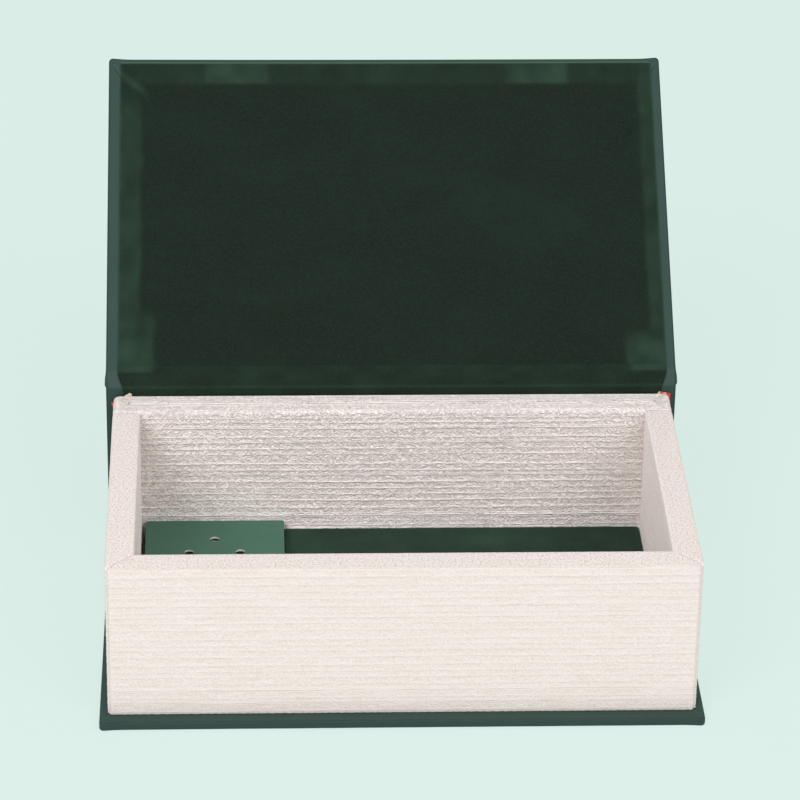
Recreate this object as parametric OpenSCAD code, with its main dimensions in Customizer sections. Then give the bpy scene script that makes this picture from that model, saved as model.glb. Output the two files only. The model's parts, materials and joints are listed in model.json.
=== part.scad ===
// Book-shaped keepsake box: a wood tray dressed as a block of pages, held in a
// cloth-covered book case whose front cover swings on a cloth joint.
// The origin is the centre of the tray on the surface that the box stands on.
// X runs along the spine, -Y is the fore-edge and +Y the spine, +Z is up.

/* [Tray] */
// Outside length of the tray, along the spine
tray_l = 220; // [190:1:250]
// Outside depth of the tray, fore-edge to spine
tray_d = 134.2; // [115:0.1:165]
// Outside height of the tray
tray_h = 63.5; // [50:0.5:80]
// Thickness of the bare front, left and right walls
wall_core = 9; // [7:0.5:11]
// Thickness of the bare rear wall
rear_core = 12.8; // [8:0.1:14]
// Thickness of the ribbed paper on the walls
paper_t = 0.7; // [0.5:0.1:1]
// Radius of the papered upright corners
corner_r = 2; // [1.5:0.5:3]
// Radius of the papered rim and foot edges
rim_r = 1.2; // [1.1:0.1:1.5]
// Thickness of the base panel
base_t = 3; // [2:0.5:4]

/* [Floor] */
// Height of the velvet floor above the underside of the tray
floor_h = 10.3; // [9:0.1:13]
// Thickness of the floor card
floor_card_t = 1.5; // [1:0.1:2.5]
// Gap between the floor and the walls
floor_gap = 0.5; // [0.3:0.1:1]
// Radius of the floor corners
floor_r = 2; // [1:0.5:4]

/* [Case] */
// Thickness of the cover and spine boards
board_t = 2.5; // [2:0.1:3.5]
// Thickness of the leatherette
wrap_t = 0.5; // [0.4:0.1:0.8]
// Width of the leatherette turned in over the board edges
turn_in = 13; // [8:0.5:18]
// How far the boards stand past the tray at head and tail
square_end = 3.2; // [3.1:0.1:6]
// How far the boards stand past the tray at the fore-edge
square_front = 5.4; // [3.5:0.1:7]
// Width of the cloth joint between the crease and a board
joint_w = 5; // [4:0.5:8]
// Corner radius of the boards
board_r = 2; // [1:0.5:3]
// Radius that the leatherette takes round the edge of a board
edge_r = 0.8; // [0.5:0.1:1]
// Gap left between the turned-in strips at a mitred corner
mitre_gap = 0.3; // [0.2:0.1:0.6]

/* [Cover] */
// Angle from closed at which the cover stands
open_angle = 142; // [100:1:175]
// Gap between the closed cover's lining and the rim
rim_gap = 0.3; // [0.3:0.1:1]
// Thickness of the velvet
velvet_t = 0.5; // [0.4:0.1:0.8]
// Leatherette border left bare at head and tail of the lining
lining_side = 4.1; // [2:0.1:6]
// Leatherette border left bare at the fore-edge of the lining
lining_fore = 1.7; // [1.5:0.1:6]
// How far the velvet runs down inside the spine
lining_tail = 18; // [10:1:30]
// How far the velvet dips between the turned-in strips of the cover
lining_dip = 0.35; // [0.1:0.05:0.4]

/* [Closure] */
// Length of a closure plate in the cover
plate_l = 24; // [15:0.5:28]
// Width of a closure plate
plate_w = 9; // [6:0.5:10]
// Thickness of a closure plate
plate_t = 0.8; // [0.5:0.1:1]
// Length of a closure magnet in the front wall
magnet_l = 20; // [12:0.5:24]
// Width of a closure magnet
magnet_w = 5; // [3:0.5:6]
// Thickness of a closure magnet
magnet_t = 3; // [2:0.5:4]
// Leather and board left between a closure plate and the cover's fore-edge
plate_edge = 2.4; // [2:0.1:6]
// Left closure, from the tray's centre
closure_left = 61; // [50:0.1:80]
// Right closure, from the tray's centre
closure_right = 62; // [50:0.1:80]

/* [Headbands] */
// Thickness of the headband tape
tape_t = 0.4; // [0.3:0.1:0.6]
// Width of the headband tape glued behind the rear wall
tape_w = 6.6; // [5:0.1:16]
// Diameter of the headband's corded edge
bead_d = 1.2; // [1:0.1:1.8]
// How far the headband's slanted end stands above the rim
tape_rise = 1.5; // [0.5:0.1:2.5]
// How far that slanted end lies below the rim at the corded edge
tape_drop = 3.2; // [0:0.1:4]

/* [Sound box] */
// Side of the square sound box
box_side = 54.8; // [54:0.1:60]
// Height of the sound box's top above the underside of the tray
box_top = 14.6; // [13.8:0.1:18]
// Gap between the sound box and the left wall
box_gap = 1.8; // [0.3:0.1:2.5]
// Thickness of the sound box's card
card_t = 1.5; // [1:0.1:1.8]
// Thickness of the sound box's bottom card
bottom_card_t = 1; // [0.6:0.1:1.4]
// Radius of the sound box's card corners
box_r = 1; // [0.5:0.1:1.4]
// Diameter of a sound hole
hole_d = 3.8; // [2:0.1:5]
// Radius of the ring of sound holes
hole_ring_r = 10; // [6:0.1:11]
// Number of sound holes
hole_n = 4; // [3:1:6]

/* [Sound module] */
// How far the speaker sits behind the middle of the sound box
speaker_back = 2.7; // [0:0.1:4]
// Diameter of the speaker
speaker_d = 27; // [25:0.5:29]
// Depth of the speaker's basket
basket_h = 2.6; // [2:0.1:3]
// Diameter of the speaker's magnet cup
cup_d = 13; // [10:0.5:15]
// Height of the speaker's magnet cup
cup_h = 2.2; // [1.5:0.1:2.6]
// Diameter of a button cell
cell_d = 9.5; // [7.5:0.1:10.4]
// Height of a button cell
cell_h = 2.7; // [2:0.1:4]
// Number of button cells
cell_n = 3; // [2:1:4]
// Wall and floor of the battery holder
holder_t = 0.8; // [0.6:0.1:1]
// Width of the circuit board
pcb_w = 11; // [8:0.5:12]
// Length of the circuit board
pcb_l = 30; // [20:1:34]
// Thickness of the circuit board
pcb_t = 1; // [0.8:0.1:1.6]
// Diameter of a speaker lead
lead_d = 0.9; // [0.6:0.1:1.2]

/* [Hidden] */

leather = "#3f5a55";
velvet = "#1f3a2e";
page_cream = "#ece4de";
greyboard = "#b7a98f";
wood_board = "#c8ab80";
card_green = "#41705c";
foam_grey = "#8d9290";
steel = "#b9bcbe";
copper = "#b87a4a";

cut = 0.01; // overshoot that keeps cut faces from coinciding
fine = 48; // facets of small round parts drawn as curves

// heights and faces of the tray
wall_t = wall_core + 2 * paper_t;
rear_t = rear_core + 2 * paper_t;
tray_z = board_t + 2 * wrap_t;
rim_z = tray_z + tray_h;
base_z = tray_z - wrap_t; // the panel lies on the board, inside the turned-in strips
base_top = base_z + base_t;
floor_z = tray_z + floor_h;
half_l = tray_l / 2;
front_y = -tray_d / 2;
rear_y = tray_d / 2;
inner_x = half_l - wall_t;
inner_front = front_y + wall_t;
inner_rear = rear_y - rear_t;

// the case, from the tray outwards
case_x = half_l + square_end;
fore_y = front_y - square_front;
lining_y = rear_y + tape_t; // inner face of the velvet on the spine
spine_in = lining_y + velvet_t + wrap_t;
spine_out = spine_in + board_t;
crease_y = spine_out + wrap_t / 2;
crease_z = rim_z + rim_gap + velvet_t + wrap_t + board_t + wrap_t / 2;
cover_w = crease_y - fore_y;
spine_top = crease_z - wrap_t * 1.5 - velvet_t - 0.1;
spine_foot = board_t + wrap_t;
lean = open_angle - 90;
joint_bend = wrap_t * 3; // radius at which the joint cloth turns

// the sound box and its pocket
box_x = -inner_x + box_gap + box_side / 2;
box_y = inner_rear - floor_gap - box_side / 2;
box_cap_z = tray_z + box_top;
box_in = box_side / 2 - card_t;
bottom_top = base_top + bottom_card_t;
cap_under = box_cap_z - card_t;

// A rectangle with rounded corners, as squares and circles so that it stays round
module round_rect(w, d, r) {
    square([w - 2 * r, d], center = true);
    square([w, d - 2 * r], center = true);
    for (x = [-1, 1], y = [-1, 1])
        translate([x * (w / 2 - r), y * (d / 2 - r)]) circle(r, $fn = fine);
}

// A rectangle from y0 to y1 whose corners at y0 alone are rounded
module board_outline(half_w, y0, y1, r) {
    translate([-half_w, y0 + r]) square([2 * half_w, y1 - y0 - r]);
    translate([-half_w + r, y0]) square([2 * half_w - 2 * r, 2 * r]);
    for (x = [-1, 1])
        translate([x * (half_w - r), y0 + r]) circle(r, $fn = fine);
}

// A rectangle from y0 to y1 and from z0 to z1, rounded at y0 only
module edged_side(y0, y1, z0, z1, r) {
    translate([y0, z0 + r]) square([y1 - y0, z1 - z0 - 2 * r]);
    translate([y0 + r, z0]) square([y1 - y0 - r, z1 - z0]);
    for (z = [z0 + r, z1 - r]) translate([y0 + r, z]) circle(r, $fn = fine);
}

// A board in its leatherette, soft at both ends and at the fore-edge, y0
module covered_board(y0, y1, z0, z1) {
    intersection() {
        translate([0, 0, z0]) linear_extrude(z1 - z0) board_outline(case_x, y0, y1, board_r + wrap_t);
        along_x(-case_x, case_x) edged_side(y0, y1, z0, z1, edge_r);
        along_y(y0, y1) translate([0, (z0 + z1) / 2]) round_rect(2 * case_x, z1 - z0, edge_r);
    }
}

// Slits along the mitres of the turned-in strips at the corners of a fore-edge
module mitre_slits(y0, z0) {
    for (side = [0, 1]) mirror([side, 0, 0])
        translate([case_x - wrap_t, y0 + wrap_t, z0]) rotate([0, 0, 135])
            translate([0, -mitre_gap / 2, 0]) cube([turn_in * 1.5, mitre_gap, wrap_t + cut]);
}

// A profile drawn in (y, z), carried from x0 to x1
module along_x(x0, x1) {
    translate([x0, 0, 0]) rotate([90, 0, 90])
        linear_extrude(x1 - x0) children();
}

// A profile drawn in (x, z), carried from y0 to y1
module along_y(y0, y1) {
    translate([0, y1, 0]) rotate([90, 0, 0])
        linear_extrude(y1 - y0) children();
}

function unit(v) = v / norm(v);
function left_of(v) = [-v[1], v[0]];

// Points at distance d to the left of a path, mitred at its corners
function beside(path, d) = [for (i = [0:len(path) - 1])
    let (n = len(path) - 1,
        a = unit(path[min(i + 1, n)] - path[min(i, n - 1)]),
        b = unit(path[max(i, 1)] - path[max(i - 1, 0)]),
        m = unit(left_of(a) + left_of(b)))
    path[i] + m * d / (m * left_of(a))];

// A sheet of thickness t, cut across: a path widened to both sides
module sheet(path, t) {
    edge = beside(path, -t / 2);
    polygon(concat(beside(path, t / 2),
        [for (i = [len(edge) - 1:-1:0]) edge[i]]));
}

// Points on an arc about c, from angle a0 to a1
function arc(c, r, a0, a1, n = 8) =
    [for (i = [0:n]) let (a = a0 + (a1 - a0) * i / n) c + r * [cos(a), sin(a)]];

// Puts a piece drawn flat, with y from the crease to the fore-edge and z from
// the cloth inwards, on the cover where it stands open
module on_cover() {
    translate([0, crease_y, crease_z]) rotate([180 - open_angle, 0, 0]) children();
}

// Middle of each closure along X
function closure_xs() = [-closure_left, closure_right];

module closure_pockets(l, w, h) {
    for (x = closure_xs()) translate([x - l / 2, 0, 0]) cube([l, w, h]);
}

// Front cover

// Room for the closure plates in the inner face of the cover's board
module plate_pockets(h) {
    translate([0, cover_w - plate_edge - plate_w, wrap_t / 2 + board_t - plate_t])
        closure_pockets(plate_l, plate_w, h);
}

module front_board() color(greyboard) on_cover() difference() {
    translate([0, 0, wrap_t / 2]) linear_extrude(board_t)
        mirror([0, 1]) board_outline(case_x - wrap_t, -(cover_w - wrap_t), -joint_w, board_r);
    plate_pockets(plate_t + cut);
}

module closure_plates() color(steel) on_cover() plate_pockets(plate_t);

// The middle of the cover's inner face, inside the turned-in strips, carried past
// the edge at the joint where it is a cut
module cover_window(z0, z1, past = 0) {
    translate([0, 0, z0]) linear_extrude(z1 - z0)
        translate([-case_x + turn_in, joint_w - past])
            square([2 * (case_x - turn_in), cover_w - joint_w - turn_in + past]);
}

// Leatherette of the front cover, mitred at its corners
module front_wrap() color(leather) on_cover() difference() {
    mirror([0, 1, 0]) covered_board(-cover_w, -joint_w, -wrap_t / 2, board_t + 1.5 * wrap_t);
    translate([0, 0, wrap_t / 2]) linear_extrude(board_t) mirror([0, 1])
        board_outline(case_x - wrap_t, -(cover_w - wrap_t), -joint_w + cut, board_r);
    cover_window(wrap_t / 2 + board_t - cut, wrap_t * 1.5 + board_t + cut, cut);
    mirror([0, 1, 0]) mitre_slits(-cover_w, wrap_t / 2 + board_t);
}

// Velvet panel on the cover's inner face, lower where no strip lies under it
module front_lining() color(velvet) on_cover() {
    under = wrap_t * 1.5 + board_t;
    difference() {
        translate([0, 0, under]) linear_extrude(velvet_t)
            mirror([0, 1]) board_outline(case_x - lining_side, -(cover_w - lining_fore),
                -joint_w, board_r);
        cover_window(under + velvet_t - lining_dip, under + velvet_t + cut, cut);
    }
    cover_window(wrap_t / 2 + board_t, under + velvet_t - lining_dip);
}

// Cloth joint of the front cover, as it lies with the cover open

along = [sin(lean), cos(lean)];
inward = [-cos(lean), sin(lean)];
crease = [crease_y, crease_z];

// The cloth rises behind the spine board, turns back at the crease and ends at
// the board's edge
function joint_path() =
    let (t = joint_bend * tan(lean / 2), c = crease + [joint_bend, -t])
    concat([[crease_y, spine_top]], arc(c, joint_bend, 180, 180 - lean),
        [crease + joint_w * along]);

// The cloth is doubled at its ends, where it is turned in
module joint_cloth() color(leather) {
    along_x(-case_x, case_x) sheet(joint_path(), wrap_t);
    for (side = [0, 1]) mirror([side, 0, 0])
        along_x(-case_x, -case_x + turn_in) sheet(beside(joint_path(), wrap_t), wrap_t);
}

// The velvet runs up inside the spine, over the spine board, along the cloth and
// up the edge of the cover's board to its lining
function joint_lining_path() =
    let (near = wrap_t * 1.5 + velvet_t / 2 + cut, edge = joint_w - velvet_t / 2,
        face = wrap_t * 1.5 + board_t + velvet_t,
        inner = lining_y + velvet_t / 2,
        top = spine_top + velvet_t / 2,
        run = beside(joint_path(), near))
    concat([[inner, rim_z - lining_tail], [inner, top], [crease_y - near, top]],
        [for (i = [1:len(run) - 2]) run[i]],
        [crease + near * inward + edge * along, crease + face * inward + edge * along]);

module joint_lining() color(velvet) {
    along_x(-case_x + lining_side, case_x - lining_side) sheet(joint_lining_path(), velvet_t);
    // between the turned-in strips it lies on the spine board
    translate([-case_x + turn_in, lining_y + velvet_t - cut, rim_z - lining_tail])
        cube([2 * (case_x - turn_in), wrap_t + cut, spine_top - rim_z + lining_tail]);
}

// Back board, spine and their leatherette

module back_board() color(greyboard)
    translate([0, 0, wrap_t]) linear_extrude(board_t)
        board_outline(case_x - wrap_t, fore_y + wrap_t, crease_y - joint_w, board_r);

module spine_board() color(greyboard)
    translate([-case_x + wrap_t, spine_in, spine_foot])
        cube([2 * (case_x - wrap_t), board_t, spine_top - spine_foot]);

// Section of the leatherette: in over the fore-edge as far as the base panel, under
// the back board, round the lower joint and up the spine
function case_path() =
    let (m = wrap_t / 2, r = board_t,
        strip = min(turn_in, inner_front - paper_t - fore_y))
    concat([[fore_y + strip, tray_z - m], [fore_y + m, tray_z - m], [fore_y + m, m]],
        arc([crease_y - r, m + r], r, -90, 0),
        [[crease_y, spine_top]]);

// The strips over and inside the ends of both boards. Those on the back board end
// at the base panel
module case_ends() {
    board_d = crease_y - joint_w - fore_y;
    strip = min(turn_in, case_x - inner_x - paper_t);
    spine_h = spine_top - spine_foot;
    for (side = [0, 1]) mirror([side, 0, 0]) {
        translate([-case_x, fore_y, 0]) cube([wrap_t, board_d, tray_z]);
        translate([-case_x, spine_in - wrap_t, spine_foot]) cube([wrap_t, wrap_t * 2 + board_t, spine_h]);
        translate([-case_x, fore_y, tray_z - wrap_t]) cube([strip, board_d, wrap_t]);
        translate([-case_x, spine_in - wrap_t, spine_foot]) cube([turn_in, wrap_t, spine_h]);
    }
}

// Leatherette of the spine and the back cover, in one piece
module case_wrap() color(leather) difference() {
    intersection() {
        union() {
            along_x(-case_x, case_x) sheet(case_path(), wrap_t);
            case_ends();
        }
        union() {
            covered_board(fore_y, crease_y - joint_w, 0, tray_z);
            translate([-case_x, crease_y - joint_w - cut, 0])
                cube([2 * case_x, joint_w + wrap_t + cut, spine_top]);
        }
    }
    back_board();
    mitre_slits(fore_y, tray_z - wrap_t);
}

// Tray

module base_panel() color(wood_board)
    translate([-inner_x - paper_t, inner_front - paper_t, base_z])
        cube([2 * (inner_x + paper_t), inner_rear - inner_front + 2 * paper_t, base_t]);

// Removes what lies outside the tray's upright corners, taken in by a margin
module corner_cuts(margin) {
    r = corner_r - margin;
    for (x = [0, 1], y = [0, 1]) mirror([x, 0, 0]) mirror([0, y, 0])
        translate([-half_l + margin, front_y + margin, tray_z - 1]) linear_extrude(tray_h + 2)
            difference() {
                translate([-1, -1]) square(r + 1);
                translate([r, r]) circle(r, $fn = fine);
            }
}

// The tray seen from the front, carried from front to rear, taken in by a margin
// that leaves a foot between the side walls' turned-under paper
module tray_bar(margin) {
    foot_w = tray_l - wall_core - 2 * margin;
    along_y(front_y - 1, rear_y + 1) translate([0, tray_z + tray_h / 2]) {
        round_rect(tray_l - 2 * margin, tray_h - 2 * margin, rim_r - margin);
        translate([-foot_w / 2, -tray_h / 2]) square([foot_w, tray_h / 2]);
    }
}

// Section of a bare wall from its papered outer face at 0. Its inner half
// stands on the board, its outer half on the paper turned under it
module core_section(t) {
    w = t + 2 * paper_t;
    r = rim_r - paper_t;
    translate([paper_t, rim_r]) square([t, tray_h - 2 * rim_r]);
    translate([rim_r, paper_t]) square([w - 2 * rim_r, tray_h - 2 * paper_t]);
    translate([w / 2, 0]) square([t / 2, tray_h / 2]);
    for (x = [rim_r, w - rim_r]) translate([x, tray_h - rim_r]) circle(r, $fn = fine);
    translate([rim_r, rim_r]) circle(r, $fn = fine);
}

// Section of a papered wall, without the room for the base panel inside it
module outer_section(t) {
    w = t + 2 * paper_t;
    difference() {
        union() {
            translate([rim_r, 0]) square([w - 2 * rim_r, tray_h]);
            translate([0, rim_r]) square([w, tray_h - 2 * rim_r]);
            for (x = [rim_r, w - rim_r]) translate([x, tray_h - rim_r]) circle(rim_r, $fn = fine);
            translate([rim_r, rim_r]) circle(rim_r, $fn = fine);
        }
        translate([w / 2, -cut]) square([w, base_top - tray_z + cut]);
    }
}

// Section of the paper round a wall: outer face, rim and inner face
module paper_section(t) {
    difference() {
        outer_section(t);
        core_section(t);
    }
}

// Wall sections put at the front, the rear and the left side
module at_front() { along_x(-half_l - 1, half_l + 1) translate([front_y, tray_z]) children(); }
module at_rear() { along_x(-half_l - 1, half_l + 1) translate([rear_y, tray_z]) mirror([1, 0]) children(); }
module at_left() { along_y(front_y - 1, rear_y + 1) translate([-half_l, tray_z]) children(); }

// A plan carried up past the height of the tray
module up_tray() { translate([0, 0, tray_z - 1]) linear_extrude(tray_h + 2) children(); }

module magnet_pockets(h) {
    translate([0, front_y + (wall_t - magnet_w) / 2, rim_z - paper_t - magnet_t])
        closure_pockets(magnet_l, magnet_w, h);
}

module front_wall() color(wood_board) difference() {
    intersection() {
        at_front() core_section(wall_core);
        tray_bar(paper_t);
    }
    corner_cuts(paper_t);
    magnet_pockets(magnet_t + cut);
}

module rear_wall() color(wood_board) difference() {
    intersection() {
        at_rear() core_section(rear_core);
        tray_bar(paper_t);
    }
    corner_cuts(paper_t);
}

// The side walls stand between the front and the rear wall
module left_wall() color(wood_board) intersection() {
    at_left() core_section(wall_core);
    up_tray() translate([-half_l - 1, inner_front - paper_t])
        square([wall_t + 2, inner_rear - inner_front + paper_t]);
}

module right_wall() mirror([1, 0, 0]) left_wall();

// The front paper is mitred against the side papers
module front_page_paper() color(page_cream) difference() {
    intersection() {
        at_front() paper_section(wall_core);
        up_tray() polygon([[-half_l - 1, front_y - 1], [half_l + 1, front_y - 1],
            [inner_x, inner_front], [-inner_x, inner_front]]);
    }
    corner_cuts(0);
}

// The side papers butt against the rear paper
module left_page_paper() color(page_cream) difference() {
    intersection() {
        at_left() paper_section(wall_core);
        up_tray() polygon([[-half_l - 1, front_y - 1], [-inner_x, inner_front],
            [-inner_x, inner_rear], [-half_l - 1, inner_rear]]);
    }
    corner_cuts(0);
}

module right_page_paper() mirror([1, 0, 0]) left_page_paper();

// The rear paper also covers the ends of the rear wall
module rear_page_paper() color(page_cream) difference() {
    intersection() {
        at_rear() outer_section(rear_core);
        tray_bar(0);
    }
    rear_wall();
    corner_cuts(0);
}

module closure_magnets() color(steel) magnet_pockets(magnet_t);

// A headband is a tape behind the rear wall, corded along the end of the tray,
// with its top cut on a slant
module headband_left() color("#c8452f") {
    r = bead_d / 2;
    reach = corner_r + r + cut; // the cord lies against the tray's round corner
    x = corner_r - half_l - sqrt(reach * reach - pow(corner_r + tape_t - r, 2));
    foot = tray_z + rim_r;
    intersection() {
        union() {
            translate([x, rear_y, foot]) cube([tape_w, tape_t, tray_h + tape_rise]);
            translate([x, rear_y + tape_t - r, foot])
                cylinder(r = r, h = tray_h, $fn = fine);
        }
        along_y(rear_y - bead_d, rear_y + tape_t) polygon([[x - bead_d, foot],
            [x + tape_w, foot], [x + tape_w, rim_z + tape_rise],
            [x, rim_z - tape_drop], [x - bead_d, rim_z - tape_drop]]);
    }
}

module headband_right() mirror([1, 0, 0]) headband_left();

// Floor of the tray, with a pocket for the sound box

module floor_plan(gap) {
    difference() {
        translate([0, (inner_front + inner_rear) / 2])
            round_rect(2 * (inner_x - floor_gap), inner_rear - inner_front - 2 * floor_gap, floor_r);
        translate([-half_l, box_y - box_side / 2 - gap])
            square([box_x + box_side / 2 + gap + half_l, tray_d]);
    }
}

floor_card_z = floor_z - velvet_t - floor_card_t;

module floor_foam() color(foam_grey)
    translate([0, 0, base_top]) linear_extrude(floor_card_z - base_top) floor_plan(floor_gap);

module floor_card() color(greyboard)
    translate([0, 0, floor_card_z]) linear_extrude(floor_card_t) floor_plan(floor_gap);

module floor_velvet() color(velvet)
    translate([0, 0, floor_z - velvet_t]) linear_extrude(velvet_t) floor_plan(floor_gap / 2);

// Sound box

module in_box(z) { translate([box_x, box_y, z]) children(); }

module at_speaker(z) { translate([0, speaker_back, 0]) in_box(z) children(); }

module sound_box_cap() color(card_green) difference() {
    in_box(bottom_top) linear_extrude(box_cap_z - bottom_top)
        round_rect(box_side, box_side, box_r);
    in_box(bottom_top - cut)
        translate([-box_in, -box_in, 0]) cube([2 * box_in, 2 * box_in, cap_under - bottom_top + cut]);
    for (i = [0:hole_n - 1]) at_speaker(cap_under - cut) rotate([0, 0, 90 + 360 / hole_n * i])
        translate([hole_ring_r, 0, 0]) cylinder(d = hole_d, h = card_t + 2 * cut, $fn = fine);
}

module sound_box_bottom() color(card_green)
    in_box(base_top) linear_extrude(bottom_card_t) round_rect(box_side, box_side, box_r);

// The speaker hangs face up from the underside of the cap
speaker_r = speaker_d / 2;
sheet_t = 0.5;
cone_t = 0.3;
glue = 0.05; // line of glue round the cone
basket_floor = cap_under - basket_h;

// Radius of the inside of the basket's slanted wall at height z
function basket_in(z) = cup_d / 2 + 1 - sheet_t
    + (z - sheet_t) * (speaker_r - 2.6 - cup_d / 2) / (basket_h - sheet_t);

module speaker_basket() color(steel) at_speaker(basket_floor) rotate_extrude($fn = fine)
    polygon([[cup_d / 4, 0], [cup_d / 2 + 1, 0], [speaker_r - 1.6, basket_h - sheet_t * 2],
        [speaker_r, basket_h - sheet_t * 2], [speaker_r, basket_h],
        [speaker_r - 1.6 - sheet_t, basket_h], [cup_d / 2 + 1 - sheet_t, sheet_t],
        [cup_d / 4, sheet_t]]);

module speaker_cone() color("#3a3f44") at_speaker(basket_floor) rotate_extrude($fn = fine) {
    top = basket_h - 0.1;
    low = top - cone_t;
    edge = basket_in(low) - glue;
    polygon([[0, top - 0.8], [edge / 2, top - 1.3], [edge - 0.8, low], [edge, low],
        [basket_in(top) - glue, top], [edge - 0.8, top], [edge / 2, top - 1.3 + cone_t],
        [0, top - 0.8 + cone_t]]);
}

module speaker_magnet() color("#55585c")
    at_speaker(basket_floor - cup_h) cylinder(d = cup_d, h = cup_h, $fn = fine);

// The circuit board lies beside the speaker, with its moulded chip and two parts
pcb_x = box_in - pcb_w - 0.6;

module circuit_board() color("#2d6a3e") in_box(bottom_top) translate([pcb_x, 0, 0]) {
    translate([0, -pcb_l / 2, 0]) cube([pcb_w, pcb_l, pcb_t]);
    translate([pcb_w / 2, pcb_l / 5, pcb_t]) scale_dome(3, 1.2);
    for (y = [-pcb_l / 4, -pcb_l / 8]) translate([pcb_w / 2 - 1.5, y, pcb_t - cut]) cube([3, 1.5, 0.8]);
}

// A low dome of radius r and height h, as a slice of a sphere
module scale_dome(r, h) {
    ball = (r * r + h * h) / (2 * h);
    intersection() {
        translate([0, 0, h - ball]) sphere(ball, $fn = fine);
        translate([-r, -r, -cut]) cube([2 * r, 2 * r, h + 1]);
    }
}

// The cells lie in a row of round nests along the front of the box
cell_pitch = cell_d + holder_t;
holder_w = cell_d + 2 * holder_t;
holder_l = cell_n * cell_pitch + holder_t;
holder_y = -box_in + 0.6 + holder_w / 2;
holder_x = -box_in + 0.6 + holder_l / 2;

module at_cells() {
    for (i = [0:cell_n - 1]) translate([(i - (cell_n - 1) / 2) * cell_pitch, 0, 0]) children();
}

module battery_holder() color("#24272a") in_box(bottom_top) translate([holder_x, holder_y, 0])
    difference() {
        translate([-holder_l / 2, -holder_w / 2, 0]) cube([holder_l, holder_w, holder_t + cell_h * 0.8]);
        at_cells() translate([0, 0, holder_t]) cylinder(d = cell_d + 0.2, h = cell_h, $fn = fine);
    }

module button_cells() color("#c9ccce") in_box(bottom_top) translate([holder_x, holder_y, holder_t])
    at_cells() cylinder(d = cell_d, h = cell_h, $fn = fine);

// Two leads rise from the circuit board and bend in to the basket's flange
module speaker_leads() color(copper) at_speaker(bottom_top + pcb_t) for (y = [-2, 2]) {
    rise = basket_floor + basket_h - 2 * sheet_t - bottom_top - pcb_t - lead_d / 2;
    x0 = pcb_x + 1.2;
    x1 = speaker_r - 0.9;
    translate([x0, y, 0]) cylinder(d = lead_d, h = rise, $fn = 24);
    translate([x0, y, rise]) sphere(d = lead_d, $fn = 24);
    translate([x1, y, rise]) rotate([0, 90, 0]) cylinder(d = lead_d, h = x0 - x1, $fn = 24);
}

front_board();
front_wrap();
front_lining();
closure_plates();
joint_cloth();
joint_lining();
back_board();
spine_board();
case_wrap();
base_panel();
front_wall();
rear_wall();
left_wall();
right_wall();
front_page_paper();
rear_page_paper();
left_page_paper();
right_page_paper();
closure_magnets();
headband_left();
headband_right();
floor_foam();
floor_card();
floor_velvet();
sound_box_cap();
sound_box_bottom();
speaker_basket();
speaker_cone();
speaker_magnet();
circuit_board();
battery_holder();
button_cells();
speaker_leads();
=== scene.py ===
"""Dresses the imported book-shaped box: leatherette case, velvet, ribbed page paper,
headbands, card and the sound module, in the frame's own coordinates. The functions
count in millimetres."""

import json
import math

import bpy
import numpy as np
from bpy.props import FloatProperty, FloatVectorProperty, PointerProperty
from mathutils import Matrix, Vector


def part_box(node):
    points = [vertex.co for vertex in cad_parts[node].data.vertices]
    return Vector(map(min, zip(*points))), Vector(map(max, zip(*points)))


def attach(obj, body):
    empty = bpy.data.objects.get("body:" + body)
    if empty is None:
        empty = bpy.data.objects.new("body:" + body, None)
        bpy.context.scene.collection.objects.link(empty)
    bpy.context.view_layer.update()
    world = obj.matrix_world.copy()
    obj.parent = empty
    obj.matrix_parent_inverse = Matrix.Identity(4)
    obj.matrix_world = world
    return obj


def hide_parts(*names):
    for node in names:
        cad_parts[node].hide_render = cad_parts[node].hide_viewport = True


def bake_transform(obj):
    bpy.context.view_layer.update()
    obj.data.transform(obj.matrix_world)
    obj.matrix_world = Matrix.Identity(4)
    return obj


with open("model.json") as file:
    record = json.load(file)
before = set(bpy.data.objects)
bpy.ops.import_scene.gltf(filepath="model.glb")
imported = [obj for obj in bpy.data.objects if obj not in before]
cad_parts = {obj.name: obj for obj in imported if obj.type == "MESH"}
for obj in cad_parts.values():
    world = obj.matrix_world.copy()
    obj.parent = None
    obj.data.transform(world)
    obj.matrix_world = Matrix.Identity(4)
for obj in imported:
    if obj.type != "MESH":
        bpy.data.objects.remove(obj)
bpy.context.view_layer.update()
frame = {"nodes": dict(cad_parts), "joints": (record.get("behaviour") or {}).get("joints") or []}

bl_info = {
    "name": "Book-shaped keepsake box",
    "version": (1, 0, 0),
    "blender": (4, 5, 0),
    "location": "View3D > Sidebar > Book box",
    "description": "Leatherette book case, velvet linings and ribbed page paper for a keepsake box",
    "category": "Object",
}

MM = 0.001
SAME_POINT = 2e-4  # points that lie closer than this are one


def low(node):
    """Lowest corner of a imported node."""
    return np.array(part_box(node)[0]) / MM


def high(node):
    """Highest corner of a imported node."""
    return np.array(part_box(node)[1]) / MM


HINGE = frame["joints"][0]
CREASE_Y, CREASE_Z = (v / MM for v in HINGE["pos_m"][1:])
LEAN = math.radians(HINGE["range_deg"][1] - 90)  # how far the open cover leans back from upright

# the case: thicknesses, the turned-in strips, and the joint's width on the cover
WRAP_T, BOARD_T, VELVET_T = 0.5, 2.5, 0.5
HALF_WRAP = WRAP_T / 2
TURN_IN, JOINT_W = 13.0, 5.0
CASE_X = float(high("case_wrap")[0])
FORE_Y = float(low("case_wrap")[1])
SPINE_TOP = float(high("case_wrap")[2])
COVER_W = CREASE_Y - FORE_Y
LINING_X, LINING_S = float(high("front_lining")[0]), COVER_W - 1.7
CLOSURES = ((-61, 12, 136.85, 4.5), (62, 12, 136.85, 4.5))  # middle, half length, middle, half width
LINING_OFF = 0.5  # the linings are glued this far to the right of the middle
VELVET_END = 105.0  # where the joint's bare ends start
STRIP_LINES = 24  # lines of the fold profile that are on the turned-in strip

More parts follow.
